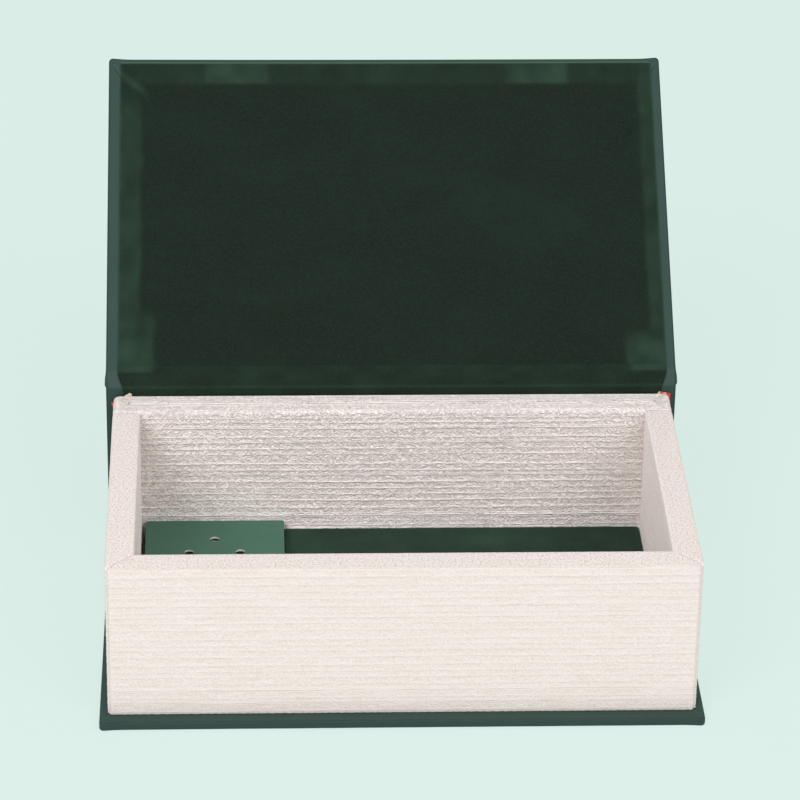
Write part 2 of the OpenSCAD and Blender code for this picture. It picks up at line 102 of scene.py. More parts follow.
# the cloth's path over the joint and round the lower case
BEND_R = 3 * WRAP_T
BEND_CUT = BEND_R * math.tan(LEAN / 2)
RISE = CREASE_Z - BEND_CUT - SPINE_TOP
JOINT_RUN = RISE + BEND_R * LEAN + JOINT_W - BEND_CUT
CASE_FLAT = CREASE_Y - BOARD_T - FORE_Y
CASE_RUN = CASE_FLAT + BOARD_T * math.pi / 2 + SPINE_TOP - BOARD_T - HALF_WRAP

# the tray and its paper: its rounding at the rim, and the depth of its hidden side
TRAY_Z, RIM_Z = float(low("front_page_paper")[2]), float(high("front_page_paper")[2])
HALF_L, REAR_Y = float(high("rear_page_paper")[0]), float(high("rear_page_paper")[1])
FRONT_Y, INNER_REAR = float(low("front_page_paper")[1]), float(low("rear_page_paper")[1])
WALL_T = HALF_L + float(high("left_page_paper")[0])
PAPER_FOOT = float(high("base_panel")[2])
PAPER_TOP = RIM_Z - TRAY_Z
RIM_R, FOOT_R, PAPER_INSIDE = 1.2, 0.5, -0.66


def size(key):
    """One of the panel's sizes."""
    return getattr(bpy.context.scene.book_sizes, key) / MM


def colour(key):
    """One of the panel's colours."""
    return tuple(getattr(bpy.context.scene.book_colours, key)[:3])


# --- values on grids -------------------------------------------------------------

def ease(x, a, b):
    """0 before a, 1 after b, and three squares less two cubes of the way between."""
    t = np.clip((x - a) / (b - a), 0, 1)
    return t * t * (3 - 2 * t)


def points(x, y, z):
    """Places from grids of x, y and z."""
    return np.stack(np.broadcast_arrays(x, y, z), -1)


def band(x, edge, soft):
    """Eased from 0 to 1 across an edge, as far as soft to both sides."""
    return ease(x, edge - soft, edge + soft)


def bell(x, width):
    """e to the power of minus the square of x over the width."""
    return np.exp(-(x / width) ** 2)


def rolled(rim, width):
    """How far a soft edge is rolled down, from 0 a width inside its rim to 1 at it,
    as a quarter circle."""
    return 1 - np.sqrt(1 - np.clip(1 - rim / width, 0, 1) ** 2)


def wave_1d(x, cell, seed):
    """Smooth chance along a line: a seeded number per cell, eased to the next."""
    table = np.random.RandomState(seed).uniform(-1, 1, 1024)
    c = np.asarray(x, float) / cell
    i = np.floor(c).astype(int)
    f = ease(c - i, 0, 1)
    return table[i % 1024] * (1 - f) + table[(i + 1) % 1024] * f


def wave_2d(x, y, cell_x, cell_y, seed):
    """Smooth chance on a plane: a seeded number per cell, eased both ways."""
    table = np.random.RandomState(seed).uniform(-1, 1, (512, 512))
    cx, cy = np.asarray(x, float) / cell_x, np.asarray(y, float) / cell_y
    i, j = np.floor(cx).astype(int), np.floor(cy).astype(int)
    fx, fy = ease(cx - i, 0, 1), ease(cy - j, 0, 1)

    def row(k):
        return table[i % 512, k % 512] * (1 - fx) + table[(i + 1) % 512, k % 512] * fx

    return row(j) * (1 - fy) + row(j + 1) * fy


def spread(*runs):
    """One line of numbers from runs of (start, end, longest step)."""
    parts = [np.linspace(a, b, max(2, int(math.ceil(abs(b - a) / s - 1e-9)) + 1)) for a, b, s in runs]
    line = np.concatenate(parts)
    return line[np.concatenate([[True], np.abs(np.diff(line)) > 1e-9])]


def two_ways(line):
    """A line from 0 outwards, and before it the same to the other side."""
    return np.concatenate([-line[::-1], line[1:]])


def round_off(x, s, half, top, r):
    """A grid whose corners at half and top are round: in the square at the corner each
    share of the way is multiplied by the root of one less half the other's square."""
    a = np.clip((np.abs(x) - (half - r)) / r, 0, 1)
    b = np.clip((s - (top - r)) / r, 0, 1)
    turn = a * b > 0
    return (np.where(turn, np.sign(x) * (half - r + r * a * np.sqrt(1 - b * b / 2)), x),
            np.where(turn, top - r + r * b * np.sqrt(1 - a * a / 2), s))


# --- meshes ----------------------------------------------------------------------

def quads(index):
    """Four-cornered faces between neighbouring rows and columns of an index grid."""
    return np.stack([index[:-1, :-1], index[1:, :-1], index[1:, 1:], index[:-1, 1:]], -1).reshape(-1, 4)


def both(shown, hidden=None):
    """The values of a skin's shown side and then of its hidden one."""
    return np.concatenate([v.reshape(-1, *v.shape[2:]) for v in (shown, shown if hidden is None else hidden)])


def put_mesh(name, places, faces, uv, marks, smooth):
    """A piece from places and uv. Points that coincide become one, faces that collapse
    with them lose corners or go, and the faces are turned outwards if the closed
    shell's signed volume is negative."""
    key = np.round(places / SAME_POINT).astype(np.int64)
    _, first, where = np.unique(key, axis=0, return_index=True, return_inverse=True)
    where = where.reshape(-1)
    kept = []
    for group in faces:
        g = where[group]
        keep = g != np.roll(g, -1, axis=1)
        for corners in range(3, g.shape[1] + 1):
            m = keep.sum(axis=1) == corners
            f, u = (v[m][keep[m]].reshape(-1, corners) for v in (g, group))
            if corners == 4:
                ok = (f[:, 0] != f[:, 2]) & (f[:, 1] != f[:, 3])
                f, u = f[ok], u[ok]
            if len(f):
                kept.append((f, u))
    p = places[first]
    volume = sum(np.einsum("ij,ij->", p[f[:, 0]], np.cross(p[f[:, k]], p[f[:, k + 1]]))
                 for f, _ in kept for k in range(1, f.shape[1] - 1))
    way = -1 if volume < 0 else 1
    mesh = bpy.data.meshes.new(name)
    mesh.from_pydata((p * MM).tolist(), [], [r for f, _ in kept for r in f[:, ::way].tolist()])
    loops = np.concatenate([u[:, ::way].reshape(-1) for _, u in kept])
    mesh.uv_layers.new(name="UVMap").data.foreach_set("uv", uv[loops].astype(np.float32).reshape(-1))
    for mark, values in marks.items():
        data = mesh.attributes.new(mark, "FLOAT", "POINT").data
        data.foreach_set("value", np.asarray(values, np.float32).reshape(-1)[first])
    mesh.polygons.foreach_set("use_smooth", np.ones(len(mesh.polygons), bool))
    mesh.update()
    mesh.set_sharp_from_angle(angle=math.radians(smooth))
    obj = bpy.data.objects.new(name, mesh)
    bpy.context.scene.collection.objects.link(obj)
    return obj


def shell(name, outer, inner, uv, marks, ends=(True, True, True, True), smooth=60):
    """A closed skin between two matched grids of points. ends says which borders get
    a strip: first row, last row, first column, last column. A border without one
    closes by itself, because its points coincide in pairs."""
    a = np.arange(uv[..., 0].size).reshape(uv.shape[:2])
    b = a + a.size
    strips = [quads(np.stack(pair)) for pair in (
        (b[0], a[0]), (a[-1], b[-1]), (a[:, 0], b[:, 0]), (b[:, -1], a[:, -1]))]
    faces = [quads(a), quads(b)[:, ::-1]] + [s for s, wanted in zip(strips, ends) if wanted]
    return put_mesh(name, both(outer, inner), [np.concatenate(faces)], both(uv),
                    {k: both(v) for k, v in marks.items()}, smooth)


def lean_shell(name, outer, inner, uv, every, marks, smooth):
    """A closed skin whose hidden side has only every few points of the shown side.
    Along the borders each long edge of the hidden side meets the short ones."""
    picks = [np.unique(np.append(np.arange(0, n, every), n - 1)) for n in uv.shape[:2]]
    grid = np.ix_(*picks)
    a = np.arange(uv[..., 0].size).reshape(uv.shape[:2])
    b = a.size + np.arange(a[grid].size).reshape(a[grid].shape)
    groups = {4: [quads(a), quads(b)[:, ::-1]]}
    for long, short, pick, way in ((a[0], b[0], picks[1], 1), (a[-1], b[-1], picks[1], -1),
                                   (a[:, 0], b[:, 0], picks[0], -1), (a[:, -1], b[:, -1], picks[0], 1)):
        for n in np.unique(np.diff(pick))[::-1]:
            i = np.nonzero(np.diff(pick) == n)[0][:, None]
            ring = np.concatenate([long[pick[i] + np.arange(n + 1)], short[i + 1], short[i]], 1)
            groups.setdefault(n + 3, []).append(ring[:, ::way])
    return put_mesh(name, both(outer, inner[grid]), [np.concatenate(g) for g in groups.values()],
                    both(uv, uv[grid]), {k: both(v, v[grid]) for k, v in marks.items()}, smooth)


def masked_plate(name, x, y, top, bottom, keep, marks):
    """A plate over some cells of a grid: the top, the bottom, and a wall wherever a
    kept cell meets one that is left out."""
    a = np.arange(x.size).reshape(x.shape)
    b = a + x.size
    kept = keep.reshape(-1)
    faces = [quads(a)[kept], quads(b)[kept][:, ::-1]]
    padded = np.pad(keep, 1)
    for axis, cells in enumerate((padded[:, 1:-1], padded[1:-1])):
        step = np.diff(cells.astype(int), axis=axis)
        i, j = np.nonzero(step)
        i2, j2 = i + axis, j + 1 - axis
        ring = np.stack([a[i, j], a[i2, j2], b[i2, j2], b[i, j]], -1)
        faces.append(np.where(((step[i, j] > 0) == (axis == 0))[:, None], ring, ring[:, ::-1]))
    return put_mesh(name, both(points(x, y, top), points(x, y, bottom)),
                    [np.concatenate(faces)], both(np.stack([x, y], -1)),
                    {k: both(v) for k, v in marks.items()}, 60)


# --- where things lie --------------------------------------------------------------

def on_cover(x, s, n, bow):
    """A point of the open cover: x along the spine, s from the crease to the
    fore-edge, n from the middle of the cloth inwards. The board bows outwards, by
    the depth of the bow times the share of the way to the fore-edge raised to 1.5,
    times one less the square of the share of the way to its end."""
    share = np.clip(s / COVER_W, 0, 1)
    n = n - bow * share ** 1.5 * (1 - np.clip(np.abs(x) / CASE_X, 0, 1) ** 2)
    y = CREASE_Y + s * math.sin(LEAN) - n * math.cos(LEAN)
    z = CREASE_Z + s * math.cos(LEAN) + n * math.sin(LEAN)
    return points(x, y, z)


def on_case(x, p, n):
    """A point of the lower case: p runs from the fore-edge under the box, round a
    quarter circle at the spine's foot and up the spine; n from the middle of the
    cloth inwards."""
    a = np.clip((p - CASE_FLAT) / BOARD_T, 0, math.pi / 2)
    up = np.maximum(p - CASE_FLAT - BOARD_T * math.pi / 2, 0)
    y = FORE_Y + np.minimum(p, CASE_FLAT) + (BOARD_T - n) * np.sin(a)
    z = HALF_WRAP + n + (BOARD_T - n) * (1 - np.cos(a)) + up
    return points(x, y, z)


def on_joint(x, p, n):
    """A point of the cloth joint: p rises behind the spine, turns on an arc at the
    crease by the cover's lean and runs on to the edge of the cover's board."""
    a = np.clip((p - RISE) / BEND_R, 0, LEAN)
    on = np.maximum(p - RISE - BEND_R * LEAN, 0)
    y = CREASE_Y + BEND_R - (BEND_R + n) * np.cos(a) + on * math.sin(LEAN)
    z = SPINE_TOP + np.minimum(p, RISE) + (BEND_R + n) * np.sin(a) + on * math.cos(LEAN)
    return points(x, y, z)


def bridge(p):
    """How far from the middle of the joint's cloth a straight line lies that runs
    from the spine's inner face, at its top, to the inner face of the cover's edge,
    measured square to the cloth."""
    a = np.clip((p - RISE) / BEND_R, 0, LEAN)
    level = BOARD_T + 1.5 * WRAP_T
    start = np.array([CREASE_Y - level, SPINE_TOP])
    way = on_cover(0, JOINT_W, level, 0)[1:] - start
    off = on_joint(0, p, 0)[..., 1:] - start
    square = -np.cos(a) * way[1] - np.sin(a) * way[0]
    return -(off[..., 0] * way[1] - off[..., 1] * way[0]) / square


# --- leatherette -----------------------------------------------------------------------

def fold_profile():
    """Section of cloth turned in round a board: out along the outer face, round two
    quarter circles and back along the inner face to the end of the turned-in strip.
    Gives inset, height and first height for both sides of the cloth; the inner side's
    circles are smaller by its thickness."""
    last = BOARD_T + WRAP_T  # how far the strip's cloth lies above the outer face's
    edge_r = size("edge_radius")
    q = np.linspace(0, math.pi / 2, 6)
    out = np.array([108, 100, 92, 84, 76, 68, 60, 52, 44, 37, 30, 24, 19, 15, 11.5, 8.5, 6, 4.2, 3, 2.1, 1.4])
    back = spread((1.4, 5, 0.24), (5, TURN_IN - 0.5, 1.2), (TURN_IN - 0.5, TURN_IN, 0.2))
    sides = []
    for r, base in ((edge_r, -HALF_WRAP), (edge_r - WRAP_T, HALF_WRAP)):
        depth, level = edge_r - r * np.sin(q), edge_r - HALF_WRAP - r * np.cos(q)
        depth = [[CASE_X], out, depth, [edge_r - r], depth[::-1], back]
        level = [[base] * (1 + len(out)), level, [last / 2], last - level[::-1], [last - base] * len(back)]
        sides.append((np.concatenate(depth)[:, None], np.concatenate(level)[:, None], base))
    return sides


def squashed(level, base, gap):
    """Heights of cloth round a board, lowered to where the board is only gap thick."""
    whole = BOARD_T + (1 if base < 0 else 0)
    return base + (level - base) * (gap + whole - BOARD_T) / whole


def u_rings(inset, fixed, side, arc, front, stop, radius):
    """U-shaped lines at an inset from the two ends and the fore-edge of a board:
    straight along each end, first at fixed places and then at shares of the rest,
    an arc of the corner's radius less the inset, then along the fore-edge. Past the
    radius the corner is a mitre."""
    r, c = np.maximum(radius - inset, 0), np.maximum(inset, radius)
    p_side = np.concatenate([fixed[None] + 0 * c, fixed[-1] + side[None] * (stop - c - fixed[-1])], 1)
    x_side = -(CASE_X - inset) + 0 * p_side
    x_arc, p_arc = -(CASE_X - c + r * np.cos(arc[None])), stop - c + r * np.sin(arc[None])
    x = [x_side, x_arc, front[None] * (CASE_X - c), -x_arc[:, ::-1], -x_side[:, ::-1]]
    p = [p_side, p_arc, stop - inset + 0 * front[None], p_arc[:, ::-1], p_side[:, ::-1]]
    return np.concatenate(x, 1), np.concatenate(p, 1)


def ripples(x, p, seed):
    """Cloth is never quite flat: two sizes of soft chance, hundredths of a
    millimetre high."""
    return 0.035 * wave_2d(x + 400, p + 400, 17, 23, seed) + 0.02 * wave_2d(x + 400, p + 400, 5, 6, seed + 1)


def turned_in_cloth(name, place, fixed, stop, seed, gap=None):
    """Cloth wrapped round a board up to its fore-edge and turned in on three edges:
    the fold profile carried along U-shaped lines. gap gives the board's thickness
    along the way where it changes, and place puts the flat piece in space. A ridge
    with a groove beside it lies along each mitre, which runs steeper than the
    corner's halving line, and the gathered cloth makes the corner a soft lump."""
    side = 1 - spread((1, 0.25, 0.04), (0.25, 0.05, 0.012), (0.05, 0.0, 0.003))[1:]
    arc = np.linspace(0, math.pi / 2, 9)[1:-1]
    front = two_ways(spread((0, 0.5, 0.04), (0.5, 0.9, 0.025), (0.9, 0.98, 0.008), (0.98, 1, 0.0025)))
    sides = []
    for depth, level, base in fold_profile()[::-1]:
        x, p = u_rings(depth, fixed, side, arc, front, stop, size("board_corner") + WRAP_T)
        level = level + 0 * x if gap is None else squashed(level, base, gap(p))
        strips = (np.arange(len(depth)) > len(depth) - STRIP_LINES)[:, None] & (depth > 0.5) & (depth < TURN_IN)
        a, b = CASE_X - np.abs(x), stop - p
        off = (b - 1.59 * a + 0.34) / 1.88
        ridge = 0.24 * bell(off + 0.1, 0.24) - 0.22 * bell(off - 0.42, 0.26)
        lump = bell(a, 5) * bell(b, 3.2)
        level = level + np.where(strips, ridge + 0.25 * lump, 0)
        sides.append((x, p + 0.55 * lump, level + ripples(x, p, seed)))
    # edge marks the rounded edge for painted shade; fold is above 0 on the mitre's ridge for a painted highlight
    # and below 0 in its groove for painted shade
    marks = {"edge": bell(depth - 0.3, 0.25) + 0 * x,
             "fold": np.where(strips, bell(off + 0.14, 0.16) - bell(off - 0.3, 0.22), 0)}
    under, (x, p, level) = sides
    uv = np.stack([x + np.where(level > 1.5, 300, 0), p], -1)
    return shell(name, place(x, p, level), place(*under), uv, marks, (False, True, True, True))


def joint_cloth():
    """The cloth between the spine and the cover: the fold profile, flat on itself,
    carried along the joint's path. Past the velvet its turned-in ends bridge the gap
    between the two boards in a flat arch, and stick out in a soft bulge."""
    run = spread((0, 1, 0.1), (1, JOINT_RUN - 0.9, 0.3), (JOINT_RUN - 0.9, JOINT_RUN, 0.1))[None]
    reach = bridge(run) + 0.6 * np.sin(math.pi * run / JOINT_RUN) - 0.75
    sides = []
    for depth, level, base in fold_profile():
        x = two_ways(CASE_X - depth[:, 0])[:, None] + 0 * run
        level = np.concatenate([level[::-1], level[1:]])
        gap = 0.04 + (reach - 0.04) * ease(np.abs(x - LINING_OFF), VELVET_END, VELVET_END + 0.9)
        bulge = 0.5 * bell(run - 0.7, 2.6) * ease(run, 0, 0.9) * ease(np.abs(x), CASE_X - 7, CASE_X)
        p = run + 0 * x
        sides.append((x + bulge * np.sign(x), p, squashed(level, base, gap) + ripples(x, p, 61)))
    (x, p, level), under = sides
    # edge marks the rounded ends of the cloth for painted shade
    return shell("cover_joint_cloth", on_joint(x, p, level), on_joint(*under), np.stack([x, p + 400], -1),
                 {"edge": bell(CASE_X - np.abs(x) - 0.3, 0.25)})


# --- materials -----------------------------------------------------------------------

class Value:
    """What a node gives. Arithmetic on it adds nodes beside that node."""

    def __init__(self, nodes, socket):
        self.nodes, self.socket = nodes, socket

    def __add__(self, other):
        return self.nodes.math("ADD", self, other)

    def __sub__(self, other):
        return self.nodes.math("SUBTRACT", self, other)

    def __rsub__(self, other):
        return self.nodes.math("SUBTRACT", other, self)

    def __mul__(self, other):
        return self.nodes.math("MULTIPLY", self, other)

    def __abs__(self):
        return self.nodes.math("ABSOLUTE", self)

    def plus(self, factor, more):
        """Times the factor, and more added to it, in one node."""
        return self.nodes.get("ShaderNodeMath", set_operation="MULTIPLY_ADD", in_0=self, in_1=factor, in_2=more)

    def above(self, limit):
        return self.nodes.math("GREATER_THAN", self, limit)

    def below(self, limit):
        return self.nodes.math("LESS_THAN", self, limit)

    def range(self, a, b, c, d):
        """Moved from the range a to b to the range c to d, and kept in it."""
        return self.nodes.get("ShaderNodeMapRange", Value=self, in_1=a, in_2=b, in_3=c, in_4=d)


class Nodes:
    """The nodes of a material or of the sky."""

    def __init__(self, owner, output):
        owner.use_nodes = True
        self.tree = owner.node_tree
        self.tree.nodes.clear()
        self.output = self.add(output)

    def plug(self, value, socket):
        """Links a value to a socket, or sets the socket to a number or a colour."""
        if isinstance(value, Value):
            self.tree.links.new(value.socket, socket)
        else:
            socket.default_value = value

    def add(self, kind, **keys):
        """A node. set_ starts a setting's name, and in_ a socket's number; any other
        key is a socket's name."""
        node = self.tree.nodes.new(kind)
        for key, value in keys.items():
            if key.startswith("set_"):
                setattr(node, key[4:], value)
            else:
                self.plug(value, node.inputs[int(key[3:]) if key.startswith("in_") else key.replace("_", " ")])
        return node

    def get(self, kind, out=0, **keys):
        """What a new node gives."""
        return Value(self, self.add(kind, **keys).outputs[out])

    def math(self, operation, a, b=0.0, clamp=False):
        return self.get("ShaderNodeMath", set_operation=operation, set_use_clamp=clamp, in_0=a, in_1=b)

    def mix(self, factor, a, b):
        """Two colours blended."""
        a, b = (v if isinstance(v, Value) else (*v, 1) for v in (a, b))
        return self.get("ShaderNodeMix", 2, set_data_type="RGBA", in_0=factor, in_6=a, in_7=b)

    def plain(self, back, kind):
        """The share of rays from the camera, by mirrors and through glass, and the
        plain colour that they see."""
        rays = [self.get("ShaderNodeLightPath", f"Is {ray} Ray") for ray in ("Camera", "Glossy", "Transmission")]
        seen = self.math("ADD", rays[0], self.math("ADD", rays[1], rays[2], clamp=True), clamp=True)
        return seen, self.get(kind, Color=(*back, 1), Strength=1.0)

    def show(self, share, one, other):
        """Ends in a mix of two shaders."""
        mixed = self.get("ShaderNodeMixShader", in_0=share, in_1=one, in_2=other)
        self.plug(mixed, self.output.inputs["Surface"])


class Finish(Nodes):
    """A material on one Principled shader."""

    def __init__(self, name, **keys):
        self.mat = bpy.data.materials.new(name)
        super().__init__(self.mat, "ShaderNodeOutputMaterial")
        self.shader = self.add("ShaderNodeBsdfPrincipled", **keys)
        self.plug(Value(self, self.shader.outputs[0]), self.output.inputs["Surface"])
        self.here, self.uv = (self.get("ShaderNodeTexCoord", out) for out in ("Object", "UV"))

    def place(self, source, scale=(1, 1, 1), turn=(0, 0, 0)):
        """Coordinates turned and scaled."""
        return self.get("ShaderNodeMapping", Vector=source, Scale=scale, Rotation=turn)

    def noise(self, where, scale, detail=3.0, rough=0.5, distort=0.0):
        """Soft chance from 0 to 1 in space."""
        return self.get("ShaderNodeTexNoise", Vector=where, Scale=scale, Detail=detail, Roughness=rough,
                        Distortion=distort)

    def cells(self, where, scale):
        """Distance within cells in space."""
        return self.get("ShaderNodeTexVoronoi", Vector=where, Scale=scale)

    def ramp(self, value, *stops):
        """Colours at places from 0 to 1, blended between."""
        node = self.add("ShaderNodeValToRGB", Fac=value)
        marks = node.color_ramp.elements
        while len(marks) < len(stops):
            marks.new(0.5)
        for point, (at, tone) in zip(marks, stops):
            point.position, point.color = at, (*tone, 1)
        return Value(self, node.outputs[0])

    def split(self, vector):
        """The three numbers of a vector."""
        return [Value(self, s) for s in self.add("ShaderNodeSeparateXYZ", Vector=vector).outputs]

    def mark(self, name):
        """A number that the mesh carries."""
        return self.get("ShaderNodeAttribute", "Fac", set_attribute_name=name)

    def bump(self, height, distance, strength, **below):
        """A bump of that depth in metres, on top of another one."""
        return self.get("ShaderNodeBump", Height=height, Distance=distance, Strength=strength, **below)

    def done(self, **looks):
        """Plugs the looks into the shader, and gives the material."""
        for key, value in looks.items():
            self.plug(value, self.shader.inputs[key.replace("_", " ")])
        return self.mat


def srgb(*rgb):
    """Screen values from 0 to 255 as linear light."""
    c = np.array(rgb, float) / 255
    return tuple(np.where(c <= 0.04045, c / 12.92, ((c + 0.055) / 1.055) ** 2.4))


def times(tone, k):
    """A colour k times as bright."""
    return tuple(min(1.0, c * k) for c in tone)


def leatherette():
    """Smooth coated bookcloth: an even matt green with faint cloudiness, hardly any
    grain, painted shade along the rounded edges, and a painted highlight beside a
    painted shade where the mesh marks a fold's ridge and groove."""
    base = colour("leather")
    f = Finish("leatherette", IOR=1.47, Specular_IOR_Level=0.34)
    p = f.here
    fibre, fold = f.noise(p, 900, 2, 0.5), f.mark("fold")
    c = f.ramp(f.noise(p, 35, 4, 0.55), (0.25, times(base, 0.93)), (0.5, base), (0.8, times(base, 1.07)))
    c = f.mix(fibre.range(0.35, 0.7, 0.0, 0.15), c, times(base, 1.12))
    # painted shade where the cloth rolls round the boards' edges, as the edge mark says
    c = f.mix(f.mark("edge") * f.noise(p, 160).range(0.35, 0.65, 0.6, 0.8), c, times(base, 0.25))
    # painted highlight along each mitre's ridge, and on the next line painted shade along its groove
    c = f.mix(fold.range(0, 1, 0, 0.9), c, times(base, 2.3))
    c = f.mix(fold.range(0, -1, 0, 0.55), c, times(base, 0.25))
    grain = f.cells(p, 2300) * 0.6 + f.noise(p, 1500, 3, 0.6)
    return f.done(Base_Color=c, Roughness=fibre.range(0.3, 0.7, 0.55, 0.59), Normal=f.bump(
        grain, 0.00002, 0.35, Normal=f.bump(f.noise(p, 180), 0.00005, 0.25)))


def velvet():
    """Short dense pile: very dark with a soft sheen, paler where the nap is pressed and,
    on the floor, by painted light; a painted highlight where the mesh marks the pile
    lit, and faint strokes where it was brushed."""
    base, pressed = colour("velvet"), colour("velvet_pressed_and_lit")
    f = Finish("velvet", Roughness=0.95, Specular_IOR_Level=0.12, Sheen_Weight=0.22,
               Sheen_Roughness=0.35, Sheen_Tint=(0.42, 0.62, 0.50, 1))
    p = f.here
    brushed = f.noise(f.place(p, (1, 1, 2.4), (0.3, 0.2, 0.5)), 22, 5, 0.62, 0.8)
    pile = f.noise(p, 1500, 2.5, 0.65)
    c = f.ramp(brushed, (0.3, times(base, 0.86)), (0.55, base), (0.8, times(base, 1.25)))
    # paler by the nap mark: pressed nap on the cover and joint, painted light on the floor
    c = f.mix(f.mark("nap") * f.noise(p, 85, 4, 0.6).range(0.3, 0.7, 0.55, 1.15), c, pressed)
    c = f.mix(pile.range(0.42, 0.7, 0, 0.24), c, times(pressed, 0.85))
    # painted highlight where the mesh marks the pile lit
    c = f.mix(f.mark("lit"), c, times(pressed, 1.9))
    return f.done(Base_Color=c, Normal=f.bump(pile, 0.00018, 0.7, Normal=f.bump(brushed, 0.0006, 0.25)))


def page_paper():
    """Pearly embossed paper like the edges of a block of pages: pinkish white, with
    thin crest lines along it, single, double or threefold and straight or wavering,
    and a thread of painted shade below each. Between them are creases where slanted and
    stretched chance passes its middle, one slant or the other by bands, fine grain,
    faint beige bands and small bright flakes. Painted shade darkens the low places and
    the grain's pits, and a painted highlight brightens the high places. The mesh counts
    the rows and says how deep the embossing looks in each place, how dark the painted
    shade in its hollows is, how plain the paper is there and how much painted shade
    darkens the whole face."""
    base, painted_shade = colour("paper"), colour("paper_painted_shade")
    f = Finish("page_paper", IOR=1.5, Specular_IOR_Level=0.35, Coat_Weight=0.06, Coat_Roughness=0.4)
    uv, depth, plain = f.uv, f.mark("depth"), f.mark("plain")

    def streaks(x, y, detail=1.0, rough=0.5):
        return f.noise(f.place(uv, (x, y, 1)), 1, detail, rough)

    waver = (f.noise(uv, 0.7, 1.5) - 0.5) * streaks(0.035, 0.24, 2).range(0.44, 0.56, 0.1, 0.8)
    row = f.mark("row") + 0.5 + waver
    across = f.math("FRACT", row) - 0.5
    chance = f.get("ShaderNodeTexWhiteNoise", set_noise_dimensions="1D", W=f.math("FLOOR", row))
    fade = streaks(0.06, 0.4)

    def crest(at):
        return abs(across - at).range(0.035, 0.125, 1, 0)

    def creases(turn):
        slanted = f.place(f.place(uv, turn=(0, 0, turn)), (0.42, 0.95, 1))
        return abs(f.noise(slanted, 1, 1.0, 0.5, 0.7) - 0.5).range(0.0, 0.12, 1, 0)

    more = f.math("MAXIMUM", crest(0.27) * chance.above(0.55), crest(-0.27) * chance.above(0.8))
    line = f.math("MAXIMUM", crest(0.0), more) * chance.plus(0.35, fade.range(0.35, 0.6, 0.3, 0.7))
    slant = chance.plus(0.12, streaks(0.07, 0.4)).range(0.53, 0.59, 0, 1)
    worm = creases(0.92) * slant + creases(-0.92) * (1.0 - slant)
    grain = f.noise(uv, 1.3, 2.0, 0.6)
    drawn = f.math("MAXIMUM", worm * 0.85, line) * (1.0 - plain)
    height = grain.range(0.3, 0.7, 0, 1) * plain.plus(0.45, 0.25) + drawn * 0.8
    # painted shade: a darker thread just below each crest line
    thread = crest(-0.14) * (chance * fade.range(0.4, 0.6, 0.1, 0.7)) * depth.plus(0.5, 0.15) * (1.0 - plain)
    c = f.mix(streaks(0.05, 0.3, 3, 0.6).range(0.45, 0.7, 0, 0.5), base, colour("paper_streak"))
    # painted shade in the low places of the embossing
    c = f.mix(height.range(0.04, 0.42, 0.72, 0.0) * plain.plus(-0.75, 1.0) * f.mark("shade"), c, painted_shade)
    # painted highlight on the high places of the embossing
    c = f.mix(height.range(0.62, 1.0, 0, 1) * depth, c, times(base, 1.1))
    # painted shade in the pits of the fine grain
    c = f.mix(grain.range(0.53, 0.36, 0, 0.42) * plain.plus(0.78, 0.22), c, painted_shade)
    # painted shade over whole faces by the tone mark, and the threads' painted shade
    c = f.mix(f.mark("tone"), f.mix(thread, c, painted_shade), painted_shade)
    flake = f.cells(uv, 1.9).range(0.0, 0.16, 1.0, 0.0) * grain.range(0.5, 0.62, 0, 1)
    return f.done(Base_Color=c, Roughness=flake.range(0, 1, 0.6, 0.22),
                  Normal=f.bump(height, 0.0006, depth * 0.9 + 0.12))


def grained(name, base, spots, scale, stretch=(1, 1, 1), rough=0.9, depth=0.0002, metallic=0.0, contrast=0.25):
    """A plain stuff with grain: two tones of soft chance, a few spots and a shallow
    bump, as on board, foam, card, plastic or metal."""
    f = Finish(name, Metallic=metallic)
    p = f.place(f.here, stretch)
    a, b = f.noise(p, scale, 5, 0.6), f.noise(p, scale * 4.3)
    c = f.ramp(a, (0.25, times(base, 1 - contrast)), (0.55, base), (0.8, times(base, 1 + contrast * 0.6)))
    return f.done(Base_Color=f.mix(b.range(0.58, 0.74, 0, 0.5), c, spots), Normal=f.bump(a + b, depth, 0.6),
                  Roughness=b.range(0.3, 0.7, max(0.05, rough - 0.1), min(1, rough + 0.06)))


def sound_card():
    """Matte printed card: green on its face, pale grey in the top of the cut edges of
    the holes, and almost black as painted shade below that and inside the box."""
    base = colour("card")
    lo, hi = low("sound_box_cap"), high("sound_box_cap")
    f = Finish("green_card", Specular_IOR_Level=0.3)
    p = f.here
    tooth = f.noise(p, 1300, 3, 0.6)
    c = f.ramp(f.noise(p, 60), (0.3, times(base, 0.95)), (0.7, times(base, 1.05)))
    c = f.mix(tooth.range(0.4, 0.8, 0, 0.22), c, times(base, 1.3))
    *flat, z = f.split(p)
    up = f.split(f.get("ShaderNodeNewGeometry", "Normal"))[2]
    off = f.math("MAXIMUM", *(abs(v - float(lo[i] + hi[i]) / 2 * MM) for i, v in enumerate(flat)))
    inside = off.below((float(hi[0] - lo[0]) / 2 - 0.4) * MM)
    under = float(hi[2] - 0.75) * MM
    c = f.mix(inside * (abs(up).below(0.5) * z.above(under)), c, colour("card_cut"))
    # painted shade: almost black inside the box and on the holes' walls below their top
    c = f.mix(inside * z.below(under), c, (0.012, 0.013, 0.013))
    return f.done(Base_Color=c, Roughness=tooth.range(0.3, 0.7, 0.68, 0.8), Normal=f.bump(tooth, 0.00006, 0.5))


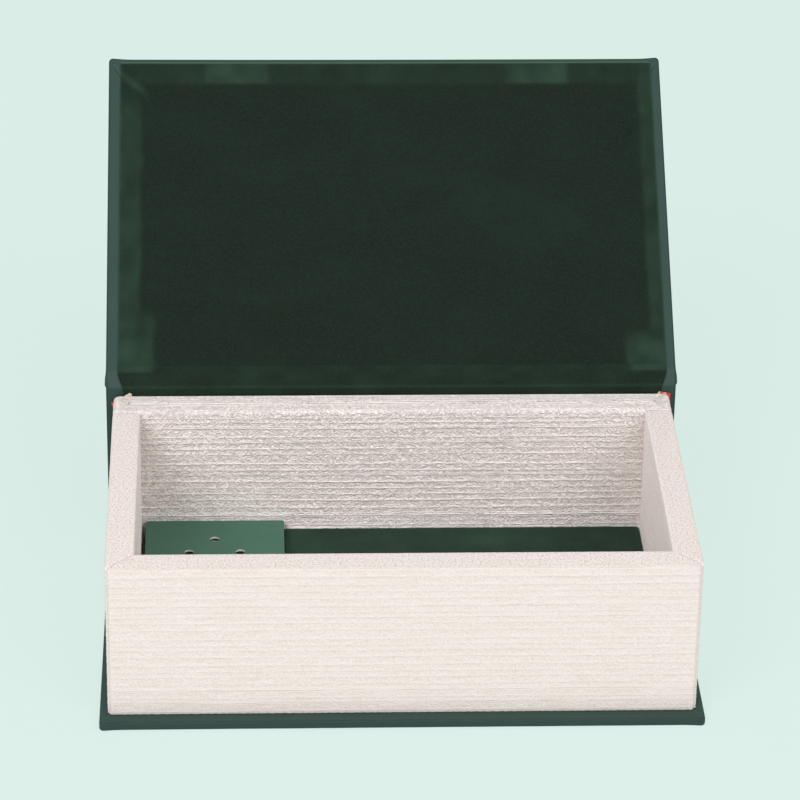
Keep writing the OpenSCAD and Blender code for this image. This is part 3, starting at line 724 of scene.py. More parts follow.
def headband_cloth():
    """Woven headband: stripes from red through orange and pink to cream, as the mesh
    says, with the threads of the weave standing out."""
    f = Finish("headband", Roughness=0.75, Sheen_Weight=0.15, Sheen_Roughness=0.4)
    across, along = (f.math("SINE", v * (2 * math.pi / 0.42)) for v in f.split(f.uv)[:2])
    weave = along * across
    stripes = f.ramp(f.mark("tone"), (0.0, srgb(226, 34, 24)), (0.2, srgb(222, 48, 30)), (0.4, srgb(232, 118, 44)),
                     (0.62, srgb(236, 168, 158)), (0.85, srgb(240, 226, 204)), (1.0, srgb(236, 226, 200)))
    return f.done(Base_Color=f.mix(weave.range(-1, 1, 0.0, 0.22), stripes, (0.30, 0.12, 0.08)),
                  Normal=f.bump(weave, 0.0001, 0.8))


# --- pieces ----------------------------------------------------------------------------

def dress(obj, material, node, body=None):
    """Gives a new piece its material, hides the imported node that it stands for and,
    where a body is given, hangs the piece on that body."""
    obj.data.materials.append(material)
    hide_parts(node)
    if body:
        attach(obj, body)


def bend(obj):
    """Bakes a piece's placement into its mesh. The point at the edge of the cover's board is worked out but not
    used.
    """
    end = (0, (CREASE_Y + JOINT_W * math.sin(LEAN)) * MM, (CREASE_Z + JOINT_W * math.cos(LEAN)) * MM)
    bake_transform(obj)


def lining_panel():
    """Velvet glued on the cover's inner face, half a millimetre off its middle: a
    grid whose height is that of the turned-in strips near the edges and dips between
    them, rolls down round its border, and whose nap is pressed over the strips, the
    closures and the joint, and lit along its cut edge."""
    half, top = LINING_X, LINING_S
    xs = spread((0, 84, 1.5), (84, half - 1.2, 0.9), (half - 1.2, half - 0.3, 0.3), (half - 0.3, half, 0.1))
    ss = spread((JOINT_W, JOINT_W + 14, 0.9), (JOINT_W + 14, 118, 1.7), (118, top - 1.2, 0.8),
                (top - 1.2, top - 0.3, 0.3), (top - 0.3, top, 0.1))
    x0, s0 = np.meshgrid(two_ways(xs), ss, indexing="ij")
    x, s = round_off(x0, s0, half, top, size("board_corner"))

    def chance(cell_x, cell_s, seed):
        return wave_2d(x0 + 300, s0 + 300, cell_x, cell_s, seed)

    in_x, in_s = CASE_X - np.abs(x0), COVER_W - s0
    middle = ease(in_x, TURN_IN, TURN_IN + 1.2) * ease(in_s, TURN_IN, TURN_IN + 1.2)
    level = 3.25 + VELVET_T - 0.35 * middle - 0.3 * rolled(np.minimum(half - np.abs(x0), top - s0), 0.45)
    for cx, half_l, cs, half_w in CLOSURES:
        near = np.maximum(np.abs(x0 - cx) - half_l, np.abs(s0 - cs) - half_w)
        level = level + 0.06 * (1 - ease(near, 0, 1))
    level = level + 0.04 * chance(2.5, 2.5, 31) + 0.06 * chance(19, 15, 32)
    under = np.where((in_x > TURN_IN) & (in_s > TURN_IN), 2.77, 3.27)
    level = np.maximum(level, under + 0.12)

    wander = 0.8 * chance(11, 9, 34)
    naps = [0.42 * band(-x0 + wander, 100.2, 1.2) * (1 - 0.75 * band(s0, 124, 6)),
            0.38 * band(x0 + wander, 103.2, 1.2), 0.2 * band(s0 + 0.5 * wander, 131.8, 1.7)]
    for cx, half_l, _, _ in CLOSURES:
        naps.append(0.62 * band(-np.abs(x0 - cx), -half_l - 1, 1.1) * band(s0, 132.0, 0.8))
    for lo_x, hi_x, top_s in ((-108.9, -95.2, 27), (94.1, 108.5, 17)):
        naps.append(0.6 * band(x0 + wander, lo_x, 1.6) * band(-x0 + wander, -hi_x, 1.8)
                    * band(-s0 + wander, -top_s, 5))
    streak = bell((x0 + 108.6) * 0.683 + (s0 - 136.7) * 0.73, 1.9)
    naps.append(0.62 * streak * band(-x0, 98.5, 2.5))
    nap = np.maximum.reduce(naps) * (0.85 + 0.35 * chance(5, 6, 33))
    lit = bell(np.maximum(top - s0 - 0.25, 0), 0.45) + 0.25 * bell(half - np.abs(x0), 0.5)
    outer, inner = (on_cover(x + LINING_OFF, s, n, size("cover_bow")) for n in (level, under))
    return shell("velvet_cover_panel", outer, inner, np.stack([x0, s0], -1),
                 {"nap": np.clip(nap, 0, 1), "lit": np.clip(lit, 0, 1)}, smooth=70)


def fillet_path(stops, radius, step):
    """A line of straight runs in even short steps, whose corners are quadratic curves
    as long as circle arcs of the radius would be."""
    stops = [np.array(p, float) for p in stops]
    line = [stops[0][None]]
    for before, here, after in zip(stops, stops[1:], stops[2:]):
        u, v = before - here, after - here
        lu, lv = np.linalg.norm(u), np.linalg.norm(v)
        u, v = u / lu, v / lv
        half = math.acos(float(np.clip(u @ v, -1, 1))) / 2
        if math.pi / 2 - half < 0.02:
            line.append(here[None])
            continue
        cut = min(radius / math.tan(half), 0.45 * min(lu, lv))
        t = np.linspace(0, 1, 7)[:, None]
        line.append((1 - t) ** 2 * (here + u * cut) + 2 * t * (1 - t) * here + t * t * (here + v * cut))
    line = np.concatenate(line + [stops[-1][None]])
    run = np.concatenate([[0], np.cumsum(np.linalg.norm(np.diff(line, axis=0), axis=1))])
    keep = np.concatenate([[True], np.diff(run) > 1e-6])
    line, run = line[keep], run[keep]
    at = np.unique(np.concatenate([run, np.linspace(0, run[-1], int(run[-1] / step) + 1)]).round(4))
    return np.stack([np.interp(at, run, line[:, k]) for k in (0, 1)], -1), at


def path_sheet(name, line, run, xs, thick, marks, narrow):
    """A sheet carried along X on a path in y and z: the path moved half a thickness
    to both sides along its normal, thinner at its two long edges, and as much
    narrower along the way as the given share of its length says."""
    tangent = np.gradient(line, axis=0)
    tangent /= np.linalg.norm(tangent, axis=1)[:, None]
    normal = np.stack([-tangent[:, 1], tangent[:, 0]], -1)
    x, p = np.meshgrid(xs, run, indexing="ij")
    wavy = 0.02 * wave_2d(x + 300, p + 50, 6, 3, 5)
    sides = []
    for side in (1, -1):
        off = side * thick * (0.5 - 0.25 * rolled(xs[-1] - np.abs(x), 0.4)) + wavy
        yz = line[None] + normal[None] * off[..., None]
        sides.append(np.concatenate([(x * narrow(p) + LINING_OFF)[..., None], yz], -1))
    return shell(name, *sides, np.stack([x, p], -1), {k: v(x, p) for k, v in marks.items()})


def paper_section():
    """Outline of paper round a wall: inset from its outer face and height above its
    foot, from under the foot up, over the rim and down inside, with the direction
    that is square to it and the way run so far."""
    w, h, r = WALL_T, PAPER_TOP, RIM_R
    parts = []

    def straight(e0, h0, e1, h1, ne, nh, step=size("paper_step")):
        k = np.linspace(0, 1, max(2, int(math.hypot(e1 - e0, h1 - h0) / step) + 1))
        parts.append(np.stack([e0 + (e1 - e0) * k, h0 + (h1 - h0) * k, 0 * k + ne, 0 * k + nh], -1))

    def corner(ce, ch, a0, a1, radius=r):
        a = np.radians(np.linspace(a0, a1, 7))
        parts.append(np.stack([ce + radius * np.cos(a), ch + radius * np.sin(a), np.cos(a), np.sin(a)], -1))

    straight(w / 2, 0, FOOT_R, 0, 0, -1, 0.8)
    corner(FOOT_R, FOOT_R, 270, 180, FOOT_R)
    straight(0, FOOT_R, 0, h - r, -1, 0)
    corner(r, h - r, 180, 90)
    straight(r, h, w - r, h, 0, 1)
    corner(w - r, h - r, 90, 0)
    straight(w, h - r, w, PAPER_FOOT - TRAY_Z, 1, 0)
    line = np.concatenate(parts)
    move = np.linalg.norm(np.diff(line[:, :2], axis=0), axis=1)
    line = line[np.concatenate([[True], move > 1e-9])]
    run = np.concatenate([[0], np.cumsum(np.linalg.norm(np.diff(line[:, :2], axis=0), axis=1))])
    return *(line[:, k, None] for k in range(4)), run


def embossing(run, along, seed):
    """The embossing's rows counted up the paper as a smooth number, and its height.
    The rows have a pitch, squeezed and stretched by chance, and wander a little
    along their way. The height is a thin crest between each two rows, fading in and
    out along its way, and on the rows creases where soft chance on two slanted
    planes passes zero, one plane or the other by bands."""
    pitch = size("ridge_pitch")
    run = run[:, None]
    wander = 0.10 * wave_2d(run, along, 6, 45, seed + 1) + 0.035 * wave_2d(run, along, 2, 4, seed + 2)
    rows = (run + 40) / pitch + 0.33 * wave_1d(run + 40, 3.1, seed) + wander + 0 * along
    line = np.clip(1 - np.abs(rows - np.round(rows)) * pitch / 0.45, 0, 1)
    line = line * (0.75 + 0.45 * wave_2d(run, along, 5, 22, seed + 3))
    one = 1 - 2.4 * np.abs(wave_2d(run * 0.8 + along * 0.6, along * 0.8 - run * 0.6, 1.3, 3.2, seed + 5))
    two = 1 - 2.4 * np.abs(wave_2d(run * 0.75 - along * 0.66, along * 0.75 + run * 0.66, 1.3, 3.2, seed + 6))
    share = ease(wave_2d(run, along, 6, 40, seed + 7), -0.15, 0.15)
    crinkle = np.clip(one * share + two * (1 - share), -0.6, 1)
    return rows, (line + 0.42 * crinkle * (1 - line)) * size("ridge_height")


def wall_paper(name, half, far_end, place, seed, rim_depth, inner_depth):
    """Paper over one wall: the section carried along the wall. Where it is mitred
    its length shrinks by the inset, and the outer corner is an eighth of a circle in
    plan; far_end is where it butts instead. The embossing stands square to the
    paper, fades at the seams, is lower on top of the rim, and looks deeper on the
    rim and inside. The foot is scalloped."""
    e, h, ne, nh, run = paper_section()
    r = size("tray_corner")
    c, rad = np.maximum(e, r), np.maximum(r - e, 0)
    arc = np.linspace(0, math.pi / 4, 5)[None]
    share = np.linspace(0, 1, int(2 * half / size("paper_step_along")))[None]
    keep, ends = (slice(1, -1), 3) if far_end is None else (slice(1, None), 2)
    x = -(half - c) + ((half - c if far_end is None else far_end) + half - c) * share[:, keep]
    out, deep, swing = rad * np.sin(arc), np.where(e >= r, e, c - rad * np.cos(arc)), arc + 0 * c
    swing = np.concatenate([-swing[:, ::-1], 0 * x, swing][:ends], 1)
    depth = np.concatenate([deep[:, ::-1], np.where(e >= r, e, c - rad) + 0 * x, deep][:ends], 1)
    x = np.concatenate([-(half - c) - out[:, ::-1], x, half - c + out][:ends], 1)
    nx, nd = -ne * np.sin(swing) * np.where(e < r, 1, 0), ne * np.cos(swing)
    rows, relief = embossing(run, x + 200, seed)
    scallop = np.sin(2 * math.pi * (x + 1.3 * wave_1d(x + 200, 7, seed)) / 2.9)
    scallop = 0.17 * scallop * bell(run - 5.25, 0.5)[:, None]
    seam = np.minimum(np.abs(x - x[:, :1]), np.abs(x[:, -1:] - x))
    inner = run[-1] - (RIM_Z - PAPER_FOOT)
    rim = ease(run, inner - WALL_T - 0.6, inner - WALL_T + 0.8)[:, None]
    inside = ease(run, inner - 0.8, inner + 1.5)[:, None]
    depth_mark = 0.22 + (rim_depth - 0.22) * rim + (inner_depth - rim_depth) * inside
    flat = np.maximum(nh, 0)
    relief = relief * ease(run, 4.6, 6.4)[:, None] * (0.35 + 1.6 * depth_mark) * (1 - 0.85 * flat)
    lift = (0.10 - 0.08 * flat + relief) * ease(seam, 0.0, 0.9) - 0.14 * (1 - ease(seam, 0, 0.6))

    def to_space(up):
        return place(x + nx * (up + scallop), depth + nd * (up + scallop), TRAY_Z + h + nh * up)

    rounding = (0.45 if far_end is None else 0) * np.abs(ne * nh)
    # tone is painted shade over whole faces: most on the outer faces, less on the rim, none inside, and more on the
    # front paper's rounded edges; shade is the strength of the painted shade in the hollows
    marks = {"depth": depth_mark, "tone": 0.38 - 0.11 * rim - 0.27 * inside + rounding, "row": rows,
             "plain": flat, "shade": 0.18 - 0.16 * inside}
    uv = np.stack([x + seed * 37, run[:, None] + 0 * x], -1)
    return lean_shell(name, to_space(lift), to_space(PAPER_INSIDE + 0 * lift), uv, 5,
                      {k: v + 0 * x for k, v in marks.items()}, 80)


def rear_paper():
    """Paper over the rear wall as one cap: rings in plan, from the foot up the four
    sides, round the rim and in over the top to its middle line. The outer corners are
    quarter circles in plan. On the wall's tray side the embossing looks deepest."""
    r, rc, depth = RIM_R, 1.1 * size("tray_corner"), REAR_Y - INNER_REAR
    step, along_step = size("paper_step"), size("paper_step_along")
    up = np.linspace(PAPER_FOOT - TRAY_Z, PAPER_TOP - r, int(PAPER_TOP / step))
    a = np.radians(np.linspace(0, 90, 7))[1:]
    flat = np.linspace(r, depth / 2, int(depth / 2 / step))[1:]
    i, height, out_h, out_v = (np.concatenate(v)[:, None] for v in (
        [0 * up, r * (1 - np.cos(a)), flat], [up, PAPER_TOP - r + r * np.sin(a), 0 * flat + PAPER_TOP],
        [0 * up + 1, np.cos(a), 0 * flat], [0 * up, np.sin(a), 0 * flat + 1]))
    run = np.concatenate([[0], np.cumsum(np.hypot(np.diff(i[:, 0]), np.diff(height[:, 0])))])
    front = np.linspace(-1, 1, int(2 * HALF_L / along_step))[None]
    back, side = np.linspace(1, -1, 40)[None], np.linspace(0, 1, int(depth / along_step))[None]
    q = np.linspace(0, math.pi / 2, 6)[None]
    c, rad = np.maximum(i, rc), np.maximum(rc - i, 0)

    def ring(front_, side_, corner, back_, sign):
        """Once round the wall, the far end as the near one, mirrored or not."""
        parts = [front_, side_, corner, back_, sign * corner[:, ::-1], sign * side_[:, ::-1]]
        return np.concatenate([v[:, k > 0:] + 0 * i for k, v in enumerate(parts)], 1)

    x = ring(front * (HALF_L - i), HALF_L - i + 0 * side, HALF_L - c + rad * np.cos(q), back * (HALF_L - c), -1)
    y = ring(INNER_REAR + i + 0 * front, INNER_REAR + i + side * (depth - c - i),
             REAR_Y - c + rad * np.sin(q), REAR_Y - i + 0 * back, 1)
    nx = ring(0 * front, 1 + 0 * side, np.cos(q), 0 * back, -1)
    ny = ring(-1 + 0 * front, 0 * side, np.sin(q), 1 + 0 * back, 1)
    # at the two inner corners both sides share one point
    nx[:, [0, -1]], nx[:, front.size - 1] = -1, 1
    ny[:, -1] = -1
    away = np.concatenate([[0], np.cumsum(np.hypot(np.diff(x[0]), np.diff(y[0])))])[None]
    rows, relief = embossing(run, away + 500, 71)
    inside = (np.arange(x.shape[1]) < front.size)[None] * (out_h > 0.5)
    corner = np.minimum(np.abs(away - 2 * HALF_L), np.minimum(away, np.abs(away[:, -1:] - away)))
    calm = 1 - (1 - ease(corner, 0, 0.8)) * (1 - out_v)
    lift = (0.10 + relief * (1 - out_v) * np.where(inside, 1.7, 0.8)) * calm - 0.05 * (1 - calm)
    lift[:, -1] = lift[:, 0]

    def to_space(up_):
        return points(x + nx * out_h * up_, y + ny * out_h * up_, TRAY_Z + height + out_v * up_)

    # tone is painted shade: a little on the outside faces, none inside, and more on the rim's rounded edge; shade
    # is the strength of the painted shade in the hollows
    marks = {"depth": np.where(inside, 0.9, 0.32 + 0.68 * out_v), "row": rows, "plain": 0.1 * out_v,
             "shade": np.where(inside, 0.42, 0.2 + 0.04 * out_v),
             "tone": np.where(inside, 0, 0.04) + 0.2 * (out_h * out_v)}
    uv = np.stack([away + 900 + 0 * x, run[:, None] + 3 + 0 * x], -1)
    # the ring closes on itself: its last column has the points of its first
    return shell("page_paper_rear", to_space(lift), to_space(PAPER_INSIDE + 0 * lift), uv,
                 {k: v + 0 * x for k, v in marks.items()}, (True, True, False, False), 80)


def floor_velvet():
    """Velvet over the floor card: a grid with round corners and a pocket left out
    for the sound box, rolled down along its edges, with soft hollows in the pile."""
    lo, hi = low("floor_velvet"), high("floor_velvet")
    pocket_x = float(high("sound_box_cap")[0]) + 0.25
    pocket_y = float(low("sound_box_cap")[1]) - 0.25

    def line(*stops):
        return spread(*(run for a, b in zip(stops, stops[1:]) for run in (
            (a, a + 0.5, 0.1), (a + 0.5, b - 0.5, 1.6), (b - 0.5, b, 0.1))))

    x0, y0 = np.meshgrid(line(lo[0], pocket_x, hi[0]), line(lo[1], pocket_y, hi[1]), indexing="ij")
    mid = (lo[1] + hi[1]) / 2
    x, off = round_off(x0, np.abs(y0 - mid), hi[0], (hi[1] - lo[1]) / 2, 2.0)
    pocket_corner = (x0 < 0) & (y0 > 0)
    x = np.where(pocket_corner, x0, x)
    y = np.where(pocket_corner, y0, mid + np.sign(y0 - mid) * off)
    edge = np.minimum.reduce([x0 - lo[0], hi[0] - x0, y0 - lo[1], hi[1] - y0,
                              np.maximum(x0 - pocket_x, pocket_y - y0)])
    hollows = 0.05 * wave_2d(x0 + 300, y0 + 300, 14, 11, 41) * ease(edge, 0, 2)
    # painted light: the whole floor's velvet is paler, as light falls on it from above, with a painted highlight
    # along its rolled edges and soft random paler patches
    nap = 0.45 + 0.4 * bell(edge, 0.6) + 0.25 * ease(wave_2d(x0 + 300, y0 + 300, 26, 18, 42), 0, 1)
    cx, cy = ((v[:-1, :-1] + v[1:, 1:]) / 2 for v in (x0, y0))
    return masked_plate("velvet_floor", x, y, hi[2] + 0.6 - 0.6 * rolled(edge, 0.45) + hollows, lo[2] + 0 * x,
                        ~((cx < pocket_x) & (cy > pocket_y)), {"nap": np.clip(nap, 0, 1)})


def cover_slab(name, cx, half, s0, s1, n0, n1, radius, pockets=()):
    """A slab in the cover, on the cover's own bow: a grid with round corners at the
    fore-edge, and flat pockets of (middle, half length, middle, half width, depth)."""
    xs, ss = [spread((-half, half, 4))], [spread((s0, s1, 4))]
    for px, pl, ps, pw, _ in pockets:
        xs.append([px - pl, px - pl + 0.02, px + pl - 0.02, px + pl])
        ss.append([ps - pw, ps - pw + 0.02, ps + pw - 0.02, ps + pw])
    for r in (0.15, 0.5, 1.0, 1.5, radius):
        xs.append([-half + r, half - r])
        ss.append([s1 - r])
    x0, s_ = np.meshgrid(*(np.unique(np.concatenate(v).round(4)) for v in (xs, ss)), indexing="ij")
    x, s = round_off(x0, s_, half, s1, radius)
    top = n1 + 0 * x
    for px, pl, ps, pw, deep in pockets:
        top = np.where((np.abs(x0 - px) < pl - 0.01) & (np.abs(s_ - ps) < pw - 0.01), n1 - deep, top)
    outer, inner = (on_cover(x + cx, s, n, size("cover_bow")) for n in (top, n0 + 0 * x))
    return shell(name, outer, inner, np.stack([x, s], -1), {}, smooth=35)


def headband(name, side):
    """A headband at one end of the spine: a woven tape with its top cut on a slant,
    its threads standing out as a product of two sines and its stripes going from 0,
    red, by orange and pink to 1, cream, and a cord whose radius is fluted along a
    steep spiral and which bends outwards at its top."""
    lo, hi = low(name), high(name)
    foot, top = float(lo[2]), float(hi[2])
    edge = float(hi[0] if side > 0 else -lo[0]) - 0.6
    # where the tape starts and ends from its edge, its height there, and its stripes
    start, reach, top_out, top_in, stripes = (
        0, 6.9, top - 4.3, top,
        ((-0.5, 0), (2.1, 0), (2.5, 0.35), (3.9, 0.35), (4.2, 1), (6.7, 1), (6.9, 0.9))) if side < 0 else (
        -1.1, 4.1, top - 1.9, top - 0.9, ((-0.5, 0), (0.4, 0), (0.6, 0.62), (1.5, 0.62), (1.8, 0.3), (3.0, 0.2),
                                          (3.2, 1), (3.8, 1), (4.0, 0), (4.4, 0)))
    w, z = np.meshgrid(np.linspace(start, reach, 61), np.linspace(0, 1, 171), indexing="ij")
    share = (w - start) / (reach - start)
    cut = top_out + (top_in - top_out) * share - 0.9 * ease(share, 0.86, 1)
    z = foot + z * (cut - foot)
    weave = 0.035 * np.sin(2 * math.pi * w / 0.9) * np.sin(2 * math.pi * z / 0.9)
    z = z + 0.10 * wave_2d(w + 50, z + 50, 0.5, 2.0, 91) * ease(z, RIM_Z - 4, RIM_Z)
    near, far = (points(side * (edge - w), REAR_Y + off + weave, z) for off in (0.05, 0.36))
    tape = shell(name + "_tape", near, far, np.stack([w, z - cut], -1),
                 {"tone": np.interp(w, *np.array(stripes, float).T)})
    long = RIM_Z - 3.0 - foot
    q, zz = np.meshgrid(np.linspace(0, 2 * math.pi, 33),
                        spread((0, 0.4, 0.1), (0.4, long - 0.6, 0.4), (long - 0.6, long, 0.1)), indexing="ij")
    flute = 0.6 * (1 + 0.09 * np.cos(3 * q + 2 * math.pi * zz / 1.6))
    flute = flute * (1 - rolled(np.minimum(zz, long - zz), 0.4))
    cx = side * (edge + 0.7 * ease(zz, long - 2.2, long))
    cord = points(cx + flute * np.cos(q), float(lo[1]) + 0.6 + flute * np.sin(q), foot + 0.05 + zz)
    uv = np.stack([q / (2 * math.pi) * 2.4, zz - long], -1)
    bead = put_mesh(name + "_cord", cord.reshape(-1, 3), [quads(np.arange(q.size).reshape(q.shape))],
                    uv.reshape(-1, 2), {"tone": 0.15 + 0.15 * np.sin(q + 2 * math.pi * zz / 2.4)}, 60)
    return tape, bead


# --- settings ------------------------------------------------------------------------

def length(name, default, text, least=0.0):
    return FloatProperty(name=name, description=text, default=default, min=least, max=1, subtype="DISTANCE",
                         unit="LENGTH", precision=5)


def tint(name, default, text):
    return FloatVectorProperty(name=name, description=text, default=(*default, 1), size=4, min=0, max=1,
                               subtype="COLOR")


class BookSizes(bpy.types.PropertyGroup):
    cover_bow: length("Cover bow", 0.0005, "How far the cover's fore-edge bows outwards in its middle")
    edge_radius: length("Edge radius", 0.0008, "Radius that the cloth takes round the edge of a board", 0.0006)
    board_corner: length("Board corner", 0.0012, "Radius of the boards' corners")
    tray_corner: length("Tray corner", 0.002, "Radius of the tray's upright corners")
    ridge_pitch: length("Ridge pitch", 0.0029, "Usual step between the crests of the page paper")
    ridge_height: length("Ridge height", 0.00020, "Height of the ridges of the page paper")
    paper_step: length("Paper step", 0.00048, "Longest step of the paper's mesh across the ridges", 0.0003)
    paper_step_along: length("Paper step along", 0.0011, "Step of the paper's mesh along the ridges", 0.0005)


class BookColours(bpy.types.PropertyGroup):
    leather: tint("Leatherette", srgb(38, 60, 55), "Colour of the leatherette")
    velvet: tint("Velvet", srgb(21, 31, 25), "Colour of the velvet with its nap standing")
    # pressed velvet's colour, also used for the painted light on the floor and, brightened, for the painted
    # highlight on lit pile
    velvet_pressed_and_lit: tint("Pressed velvet", srgb(47, 70, 56), "Colour of the velvet where its nap is pressed")
    paper: tint("Page paper", srgb(254, 243, 239), "Colour of the page paper")
    paper_streak: tint("Paper streaks", srgb(250, 237, 229), "Colour of the beige streaks in the page paper")
    # the colour of the paper's painted shade: in its hollows, the grain's pits, the threads below the crests and
    # over darkened faces
    paper_painted_shade: tint("Paper hollows", srgb(134, 120, 110), "Colour of the hollows of the page paper")
    card: tint("Sound box card", srgb(66, 102, 85), "Colour of the sound box")
    card_cut: tint("Cut card", srgb(206, 206, 200), "Colour of the cut edges of the card")
    greyboard: tint("Greyboard", srgb(183, 169, 143), "Colour of the boards inside the case")
    fibreboard: tint("Fibreboard", srgb(200, 171, 128), "Colour of the tray's bare walls")
    background: tint("Background", srgb(218, 237, 231), "Colour of the floor and the air behind")


class BookStage(bpy.types.PropertyGroup):
    key: FloatProperty(name="Key light", description="Power of the large lamp at the front left", default=35.0,
                       min=0, unit="POWER")
    fill: FloatProperty(name="Fill light", description="Power of the lamp at the front right", default=24.8,
                        min=0, unit="POWER")
    sky: FloatProperty(name="Sky", description="Strength of the even light from all round", default=0.67,
                       min=0, max=2, subtype="FACTOR")
    shadow: FloatProperty(name="Shadow", description="Share of the floor's look that comes from its shading",
                          default=0.12, min=0, max=1, subtype="FACTOR")


# --- operators -------------------------------------------------------------------------

class BOOK_OT_leatherette(bpy.types.Operator):
    """Make the leatherette of the cover, the joint and the lower case"""

    bl_idname = "book.leatherette"
    bl_label = "Leatherette case"

    def execute(self, context):
        cloth, bow = leatherette(), size("cover_bow")
        board_end = CASE_RUN - (CREASE_Y - JOINT_W - FORE_Y)
        spine_end = SPINE_TOP - BOARD_T - WRAP_T

        def gap(p):
            """A board's thickness, and next to nothing between the spine's and the back's."""
            dip = ease(p, spine_end, spine_end + 1.6) * (1 - ease(p, board_end - 1.6, board_end))
            return BOARD_T - (BOARD_T - 0.05) * dip

        cover = turned_in_cloth("leatherette_cover", lambda x, p, n: on_cover(x, p, n, bow),
                                np.array([JOINT_W, 6, 8, 11.5, 16, 22]), COVER_W, 11)
        case = turned_in_cloth("leatherette_case", lambda x, p, n: on_case(x, CASE_RUN - p, n),
                               spread((0, 60, 6), (60, 65.5, 1.4), (65.5, 74.5, 0.3), (74.5, 80, 1.4)),
                               CASE_RUN, 21, gap)
        joint = joint_cloth()
        dress(cover, cloth, "front_wrap", "cover")
        dress(case, cloth, "case_wrap", "box")
        dress(joint, cloth, "joint_cloth")
        bend(joint)
        joint_flat = (2 * (CASE_X + TURN_IN) * MM, JOINT_RUN * MM)
        max(0.0101, joint_flat[1])
        joint_flat[0] * joint_flat[1]
        return {"FINISHED"}


class BOOK_OT_cover_core(bpy.types.Operator):
    """Make the cover's board and the closure plates let into it"""

    bl_idname = "book.cover_core"
    bl_label = "Cover board and plates"

    def execute(self, context):
        grey = colour("greyboard")
        board = cover_slab("cover_board", 0, CASE_X - WRAP_T - 0.02, JOINT_W, COVER_W - WRAP_T - 0.02, 0.27, 2.73,
                           2.0, [(*closure, 0.8) for closure in CLOSURES])
        dress(board, grained("greyboard_cover", grey, times(grey, 0.6), 420, (1, 1, 6), 0.92),
              "front_board", "cover")
        steel = grained("plate_steel", (0.46, 0.47, 0.48), (0.35, 0.35, 0.36), 300, (1, 18, 18), 0.34, 0.00002, 1.0)
        for i, (x, half, s, w) in enumerate(CLOSURES):
            plate = cover_slab(f"closure_plate_{i + 1}", x, half - 0.04, s - w + 0.04, s + w - 0.04, 1.96, 2.7, 0.5)
            dress(plate, steel, "closure_plates", "cover")
        return {"FINISHED"}


class BOOK_OT_velvet(bpy.types.Operator):
    """Make the velvet of the cover, the joint and the floor"""

    bl_idname = "book.velvet"
    bl_label = "Velvet linings"

    def joint(self):
        """The velvet of the joint: from inside the spine up, over a low arch and on
        to the edge of the cover's panel, narrower below it. Gives its length too."""
        level = BOARD_T + 1.5 * WRAP_T + 0.02 + VELVET_T / 2
        along, inward = np.array([[math.sin(LEAN), math.cos(LEAN)], [-math.cos(LEAN), math.sin(LEAN)]])
        foot = np.array([REAR_Y + 0.4 + VELVET_T / 2, SPINE_TOP + 0.12])
        end = np.array([CREASE_Y, CREASE_Z]) + level * inward + (JOINT_W - 0.02) * along
        arch = 0.6 * np.array([foot[1] - end[1], end[0] - foot[0]]) / np.linalg.norm(end - foot)
        line, run = fillet_path([(foot[0], RIM_Z - 18), foot] + [
            (1 - k) * foot + k * end + high_ * arch for k, high_ in ((0.25, 0.71), (0.5, 1), (0.75, 0.71))] + [end],
            0.9, 0.5)
        last, rise = run[-1], SPINE_TOP - RIM_Z + 18

        def nap(x, p):
            """Pressed like the panel beside it where the two meet near the ends."""
            ends = ease(np.abs(x + 0.6), 93.5, 96.5) * ease(p, last - 3.2, last - 2.0)
            return 0.10 + 0.10 * wave_2d(x + 300, p + 50, 9, 3, 51) + 0.5 * ends

        half = LINING_X
        xs = two_ways(spread((0, half - 1, 3), (half - 1, half - 0.4, 0.2), (half - 0.4, half, 0.08)))
        return path_sheet("velvet_joint", line, run, xs, VELVET_T,
                          {"nap": nap, "lit": lambda x, p: 0.10 * bell(p - rise - 0.5, 0.5)},
                          lambda p: 1 - 0.021 * (1 - ease(p, last - 11, last - 2))), float(last)

    def execute(self, context):
        pile = velvet()
        panel, (joint, joint_run), floor = lining_panel(), self.joint(), floor_velvet()
        dress(panel, pile, "front_lining", "cover")
        dress(joint, pile, "joint_lining")
        dress(floor, pile, "floor_velvet", "box")
        bend(joint)
        wide = 2 * LINING_X * MM
        joint_run * MM
        lo, hi = low("floor_velvet"), high("floor_velvet")
        w, d = (hi[0] - lo[0]) * MM, (hi[1] - lo[1]) * MM
        pocket = (high("sound_box_cap")[0] - lo[0]) * (hi[1] - low("sound_box_cap")[1]) * MM * MM
        w * d - pocket
        return {"FINISHED"}


class BOOK_OT_page_paper(bpy.types.Operator):
    """Make the embossed paper over the four walls of the tray"""

    bl_idname = "book.page_paper"
    bl_label = "Page paper"

    def execute(self, context):
        paper = page_paper()
        papers = {
            "front": wall_paper("page_paper_front", HALF_L, None,
                                lambda along, into, z: points(along, FRONT_Y + into, z), 3, 0.3, 0.5),
            "left": wall_paper("page_paper_left", REAR_Y, INNER_REAR,
                               lambda along, into, z: points(-HALF_L + into, along, z), 5, 0.25, 0.4),
            "right": wall_paper("page_paper_right", REAR_Y, INNER_REAR,
                                lambda along, into, z: points(HALF_L - into, along, z), 8, 0.42, 0.35),
            "rear": rear_paper()}
        for wall, obj in papers.items():
            dress(obj, paper, wall + "_page_paper", "box")
        return {"FINISHED"}


class BOOK_OT_headbands(bpy.types.Operator):
    """Make the two striped headbands with their cords"""

    bl_idname = "book.headbands"
    bl_label = "Headbands"

    def execute(self, context):
        cloth = headband_cloth()
        for node, side in (("headband_left", -1), ("headband_right", 1)):
            for obj in headband(node, side):
                dress(obj, cloth, node, "box")
        return {"FINISHED"}


